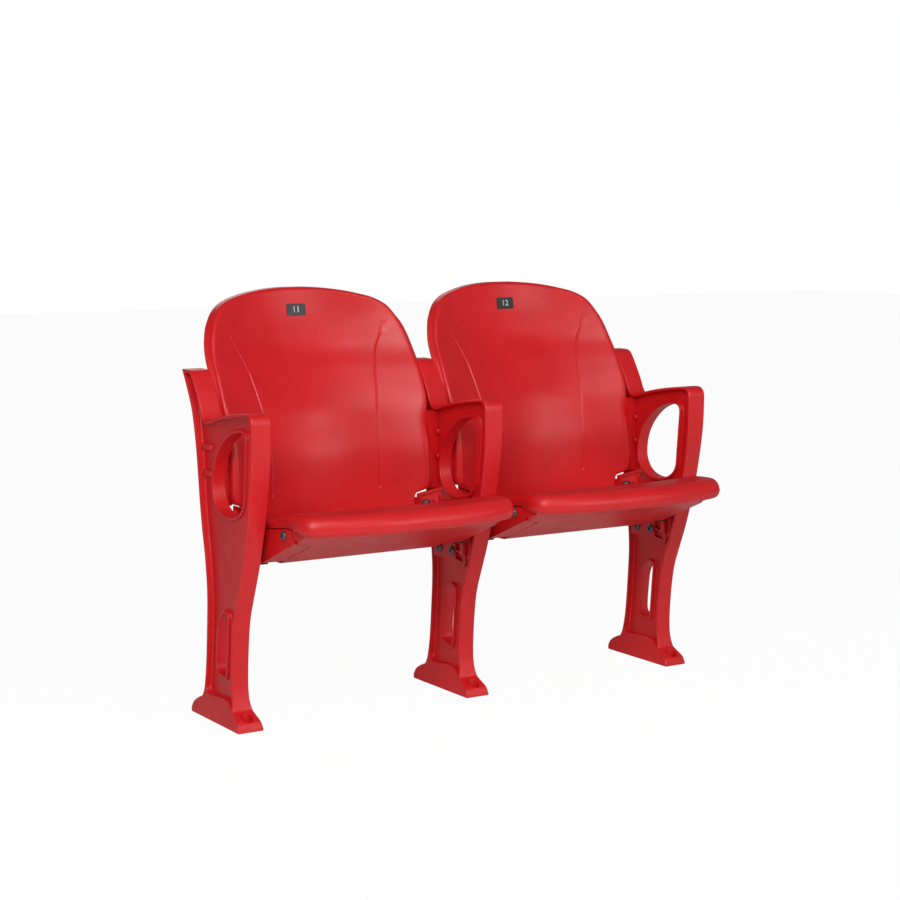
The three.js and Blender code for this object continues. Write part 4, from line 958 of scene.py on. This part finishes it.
black = plain_finish("black_plate", ((0.010, 0.011, 0.013), (0.016, 0.017, 0.020)), (0.28, 0.40))
white_ink = plain_finish("white_ink", ((0.62, 0.62, 0.62), (0.72, 0.72, 0.72)), (0.45, 0.6))
plate_height = 761.2
half_x, half_z = 21.0, 12.0
plate_depth = 0.0011


def on_plate(bm):
    """Lays a flat mesh made in x and z on the tilted backrest, at the plate's height."""
    low, high = (back_front(0, plate_height + up) for up in (-half_z, half_z))
    tilt = math.atan((high - low) / (2 * half_z))
    bmesh.ops.transform(bm, matrix=Matrix.Rotation(-tilt, 4, "X"), verts=bm.verts)
    bmesh.ops.translate(bm, vec=in_metres(0, (low + high) / 2 - 0.5, plate_height), verts=bm.verts)
    return bm


def plate_mesh():
    bm = bmesh.new()
    corners = [(-half_x, -half_z), (half_x, -half_z), (half_x, half_z), (-half_x, half_z)]
    bm.faces.new([bm.verts.new(in_metres(x, 0.1, z)) for x, z in corners])
    bmesh.ops.translate(bm, vec=(0, -plate_depth, 0), verts=extruded(bm))
    upright = [edge for edge in bm.edges if abs(edge.verts[0].co.y - edge.verts[1].co.y) > 1e-4]
    bmesh.ops.bevel(bm, geom=upright, offset=0.0022, offset_type="OFFSET", affect="EDGES", segments=5,
                    profile=0.5, material=-1)
    face_out(bm)
    soften(bm, 0.25)
    return on_plate(bm)


plate = plate_mesh()
for (name, x), number in zip(seats, ("11", "12")):
    finished(f"number_plate_{name}_tile", plate, black, "frame",
             [f"number_plate_{name}"], x)
    text = bpy.data.curves.new("number", "FONT")
    text.body = number
    text.size = 0.0175
    text.align_x = "CENTER"
    text.align_y = "CENTER"
    text.extrude = 0.0001
    written = bpy.data.objects.new("number", text)
    scene.collection.objects.link(written)
    digits = bmesh.new()
    digits.from_mesh(written.to_mesh())
    bpy.data.objects.remove(written)
    bpy.data.curves.remove(text)
    bmesh.ops.transform(digits, matrix=Matrix.Rotation(math.pi / 2, 4, "X"), verts=digits.verts)
    bmesh.ops.translate(digits, vec=(0, -plate_depth, 0), verts=digits.verts)
    finished(f"number_plate_{name}_number", on_plate(digits), white_ink, "frame",
             [f"number_plate_{name}"], x)
    digits.free()
plate.free()

# The camera stands nearly four metres off, left of the row, in a white studio: a large soft light
# high on the left, weaker ones above, on the right and behind, and a pale floor.

camera_data = bpy.data.cameras.new("camera")
camera_data.lens = 78.13
camera_data.sensor_width = 36.0
camera = bpy.data.objects.new("camera", camera_data)
camera.location = (-2.0693, -3.2681, 0.9614)
camera.rotation_euler = (math.radians(90 - 7.06), 0, math.radians(-32.33))
scene.collection.objects.link(camera)
scene.camera = camera

floor_mesh = bpy.data.meshes.new("floor")
floor_bm = bmesh.new()
bmesh.ops.create_grid(floor_bm, x_segments=1, y_segments=1, size=14.0)
floor_bm.to_mesh(floor_mesh)
floor_bm.free()
floor = bpy.data.objects.new("floor", floor_mesh)
scene.collection.objects.link(floor)


def mix_for_camera(tree, share, lit, bright, output):
    """Shows the camera a share of the bright shader, and all else the lit one."""
    mixed = tree.nodes.new("ShaderNodeMixShader")
    for i, socket in enumerate((share, lit.outputs[0], bright.outputs[0])):
        tree.links.new(socket, mixed.inputs[i])
    tree.links.new(mixed.outputs[0], tree.nodes[output].inputs["Surface"])


pale = bpy.data.materials.new("pale_floor")
pale.use_nodes = True
tree = pale.node_tree
matt = tree.nodes["Principled BSDF"]
matt.inputs["Base Color"].default_value = (0.86, 0.86, 0.86, 1)
matt.inputs["Roughness"].default_value = 0.9
matt.inputs["Specular IOR Level"].default_value = 0.0
glow = tree.nodes.new("ShaderNodeEmission")
path = tree.nodes.new("ShaderNodeLightPath")
seen = tree.nodes.new("ShaderNodeMath")
seen.operation = "MULTIPLY"
tree.links.new(path.outputs["Is Camera Ray"], seen.inputs[0])
seen.inputs[1].default_value = 0.96
mix_for_camera(tree, seen.outputs[0], matt, glow, "Material Output")
floor_mesh.materials.append(pale)

world = bpy.data.worlds.new("studio")
scene.world = world
world.use_nodes = True
tree = world.node_tree
walls = tree.nodes["Background"]
walls.inputs["Color"].default_value = (1, 1, 1, 1)
direction = tree.nodes.new("ShaderNodeTexCoord").outputs["Generated"]
split = tree.nodes.new("ShaderNodeSeparateXYZ")
tree.links.new(direction, split.inputs[0])
fade = tree.nodes.new("ShaderNodeMapRange")
tree.links.new(split.outputs["Z"], fade.inputs["Value"])
for name, number in (("From Min", 0.0), ("From Max", 0.7), ("To Min", 0.24), ("To Max", 0.16)):
    fade.inputs[name].default_value = number
tree.links.new(fade.outputs["Result"], walls.inputs["Strength"])
white = tree.nodes.new("ShaderNodeBackground")
white.inputs["Color"].default_value = (1, 1, 1, 1)
path = tree.nodes.new("ShaderNodeLightPath")
mix_for_camera(tree, path.outputs["Is Camera Ray"], walls, white, "World Output")


def soft_light(name, place, size, power, aim=0.4):
    """A lamp aimed at a height over the row's middle."""
    data = bpy.data.lights.new(name, "AREA")
    data.shape = "RECTANGLE"
    data.size, data.size_y = size
    data.energy = power
    light = bpy.data.objects.new(name, data)
    light.location = place
    light.rotation_euler = (Vector((0, 0, aim)) - Vector(place)).to_track_quat("-Z", "Y").to_euler()
    scene.collection.objects.link(light)
    light.visible_camera = False


soft_light("front_light", (-2.5, -3.1, 2.5), (1.9, 1.5), 98)
soft_light("strip_light", (-0.6, -2.4, 2.7), (2.4, 0.4), 23)
soft_light("right_light", (1.6, -3.4, 1.4), (1.2, 1.5), 21, 0.45)
soft_light("rear_light", (0.6, 3.6, 2.2), (2.6, 1.8), 20)

scene.view_settings.view_transform = "Standard"
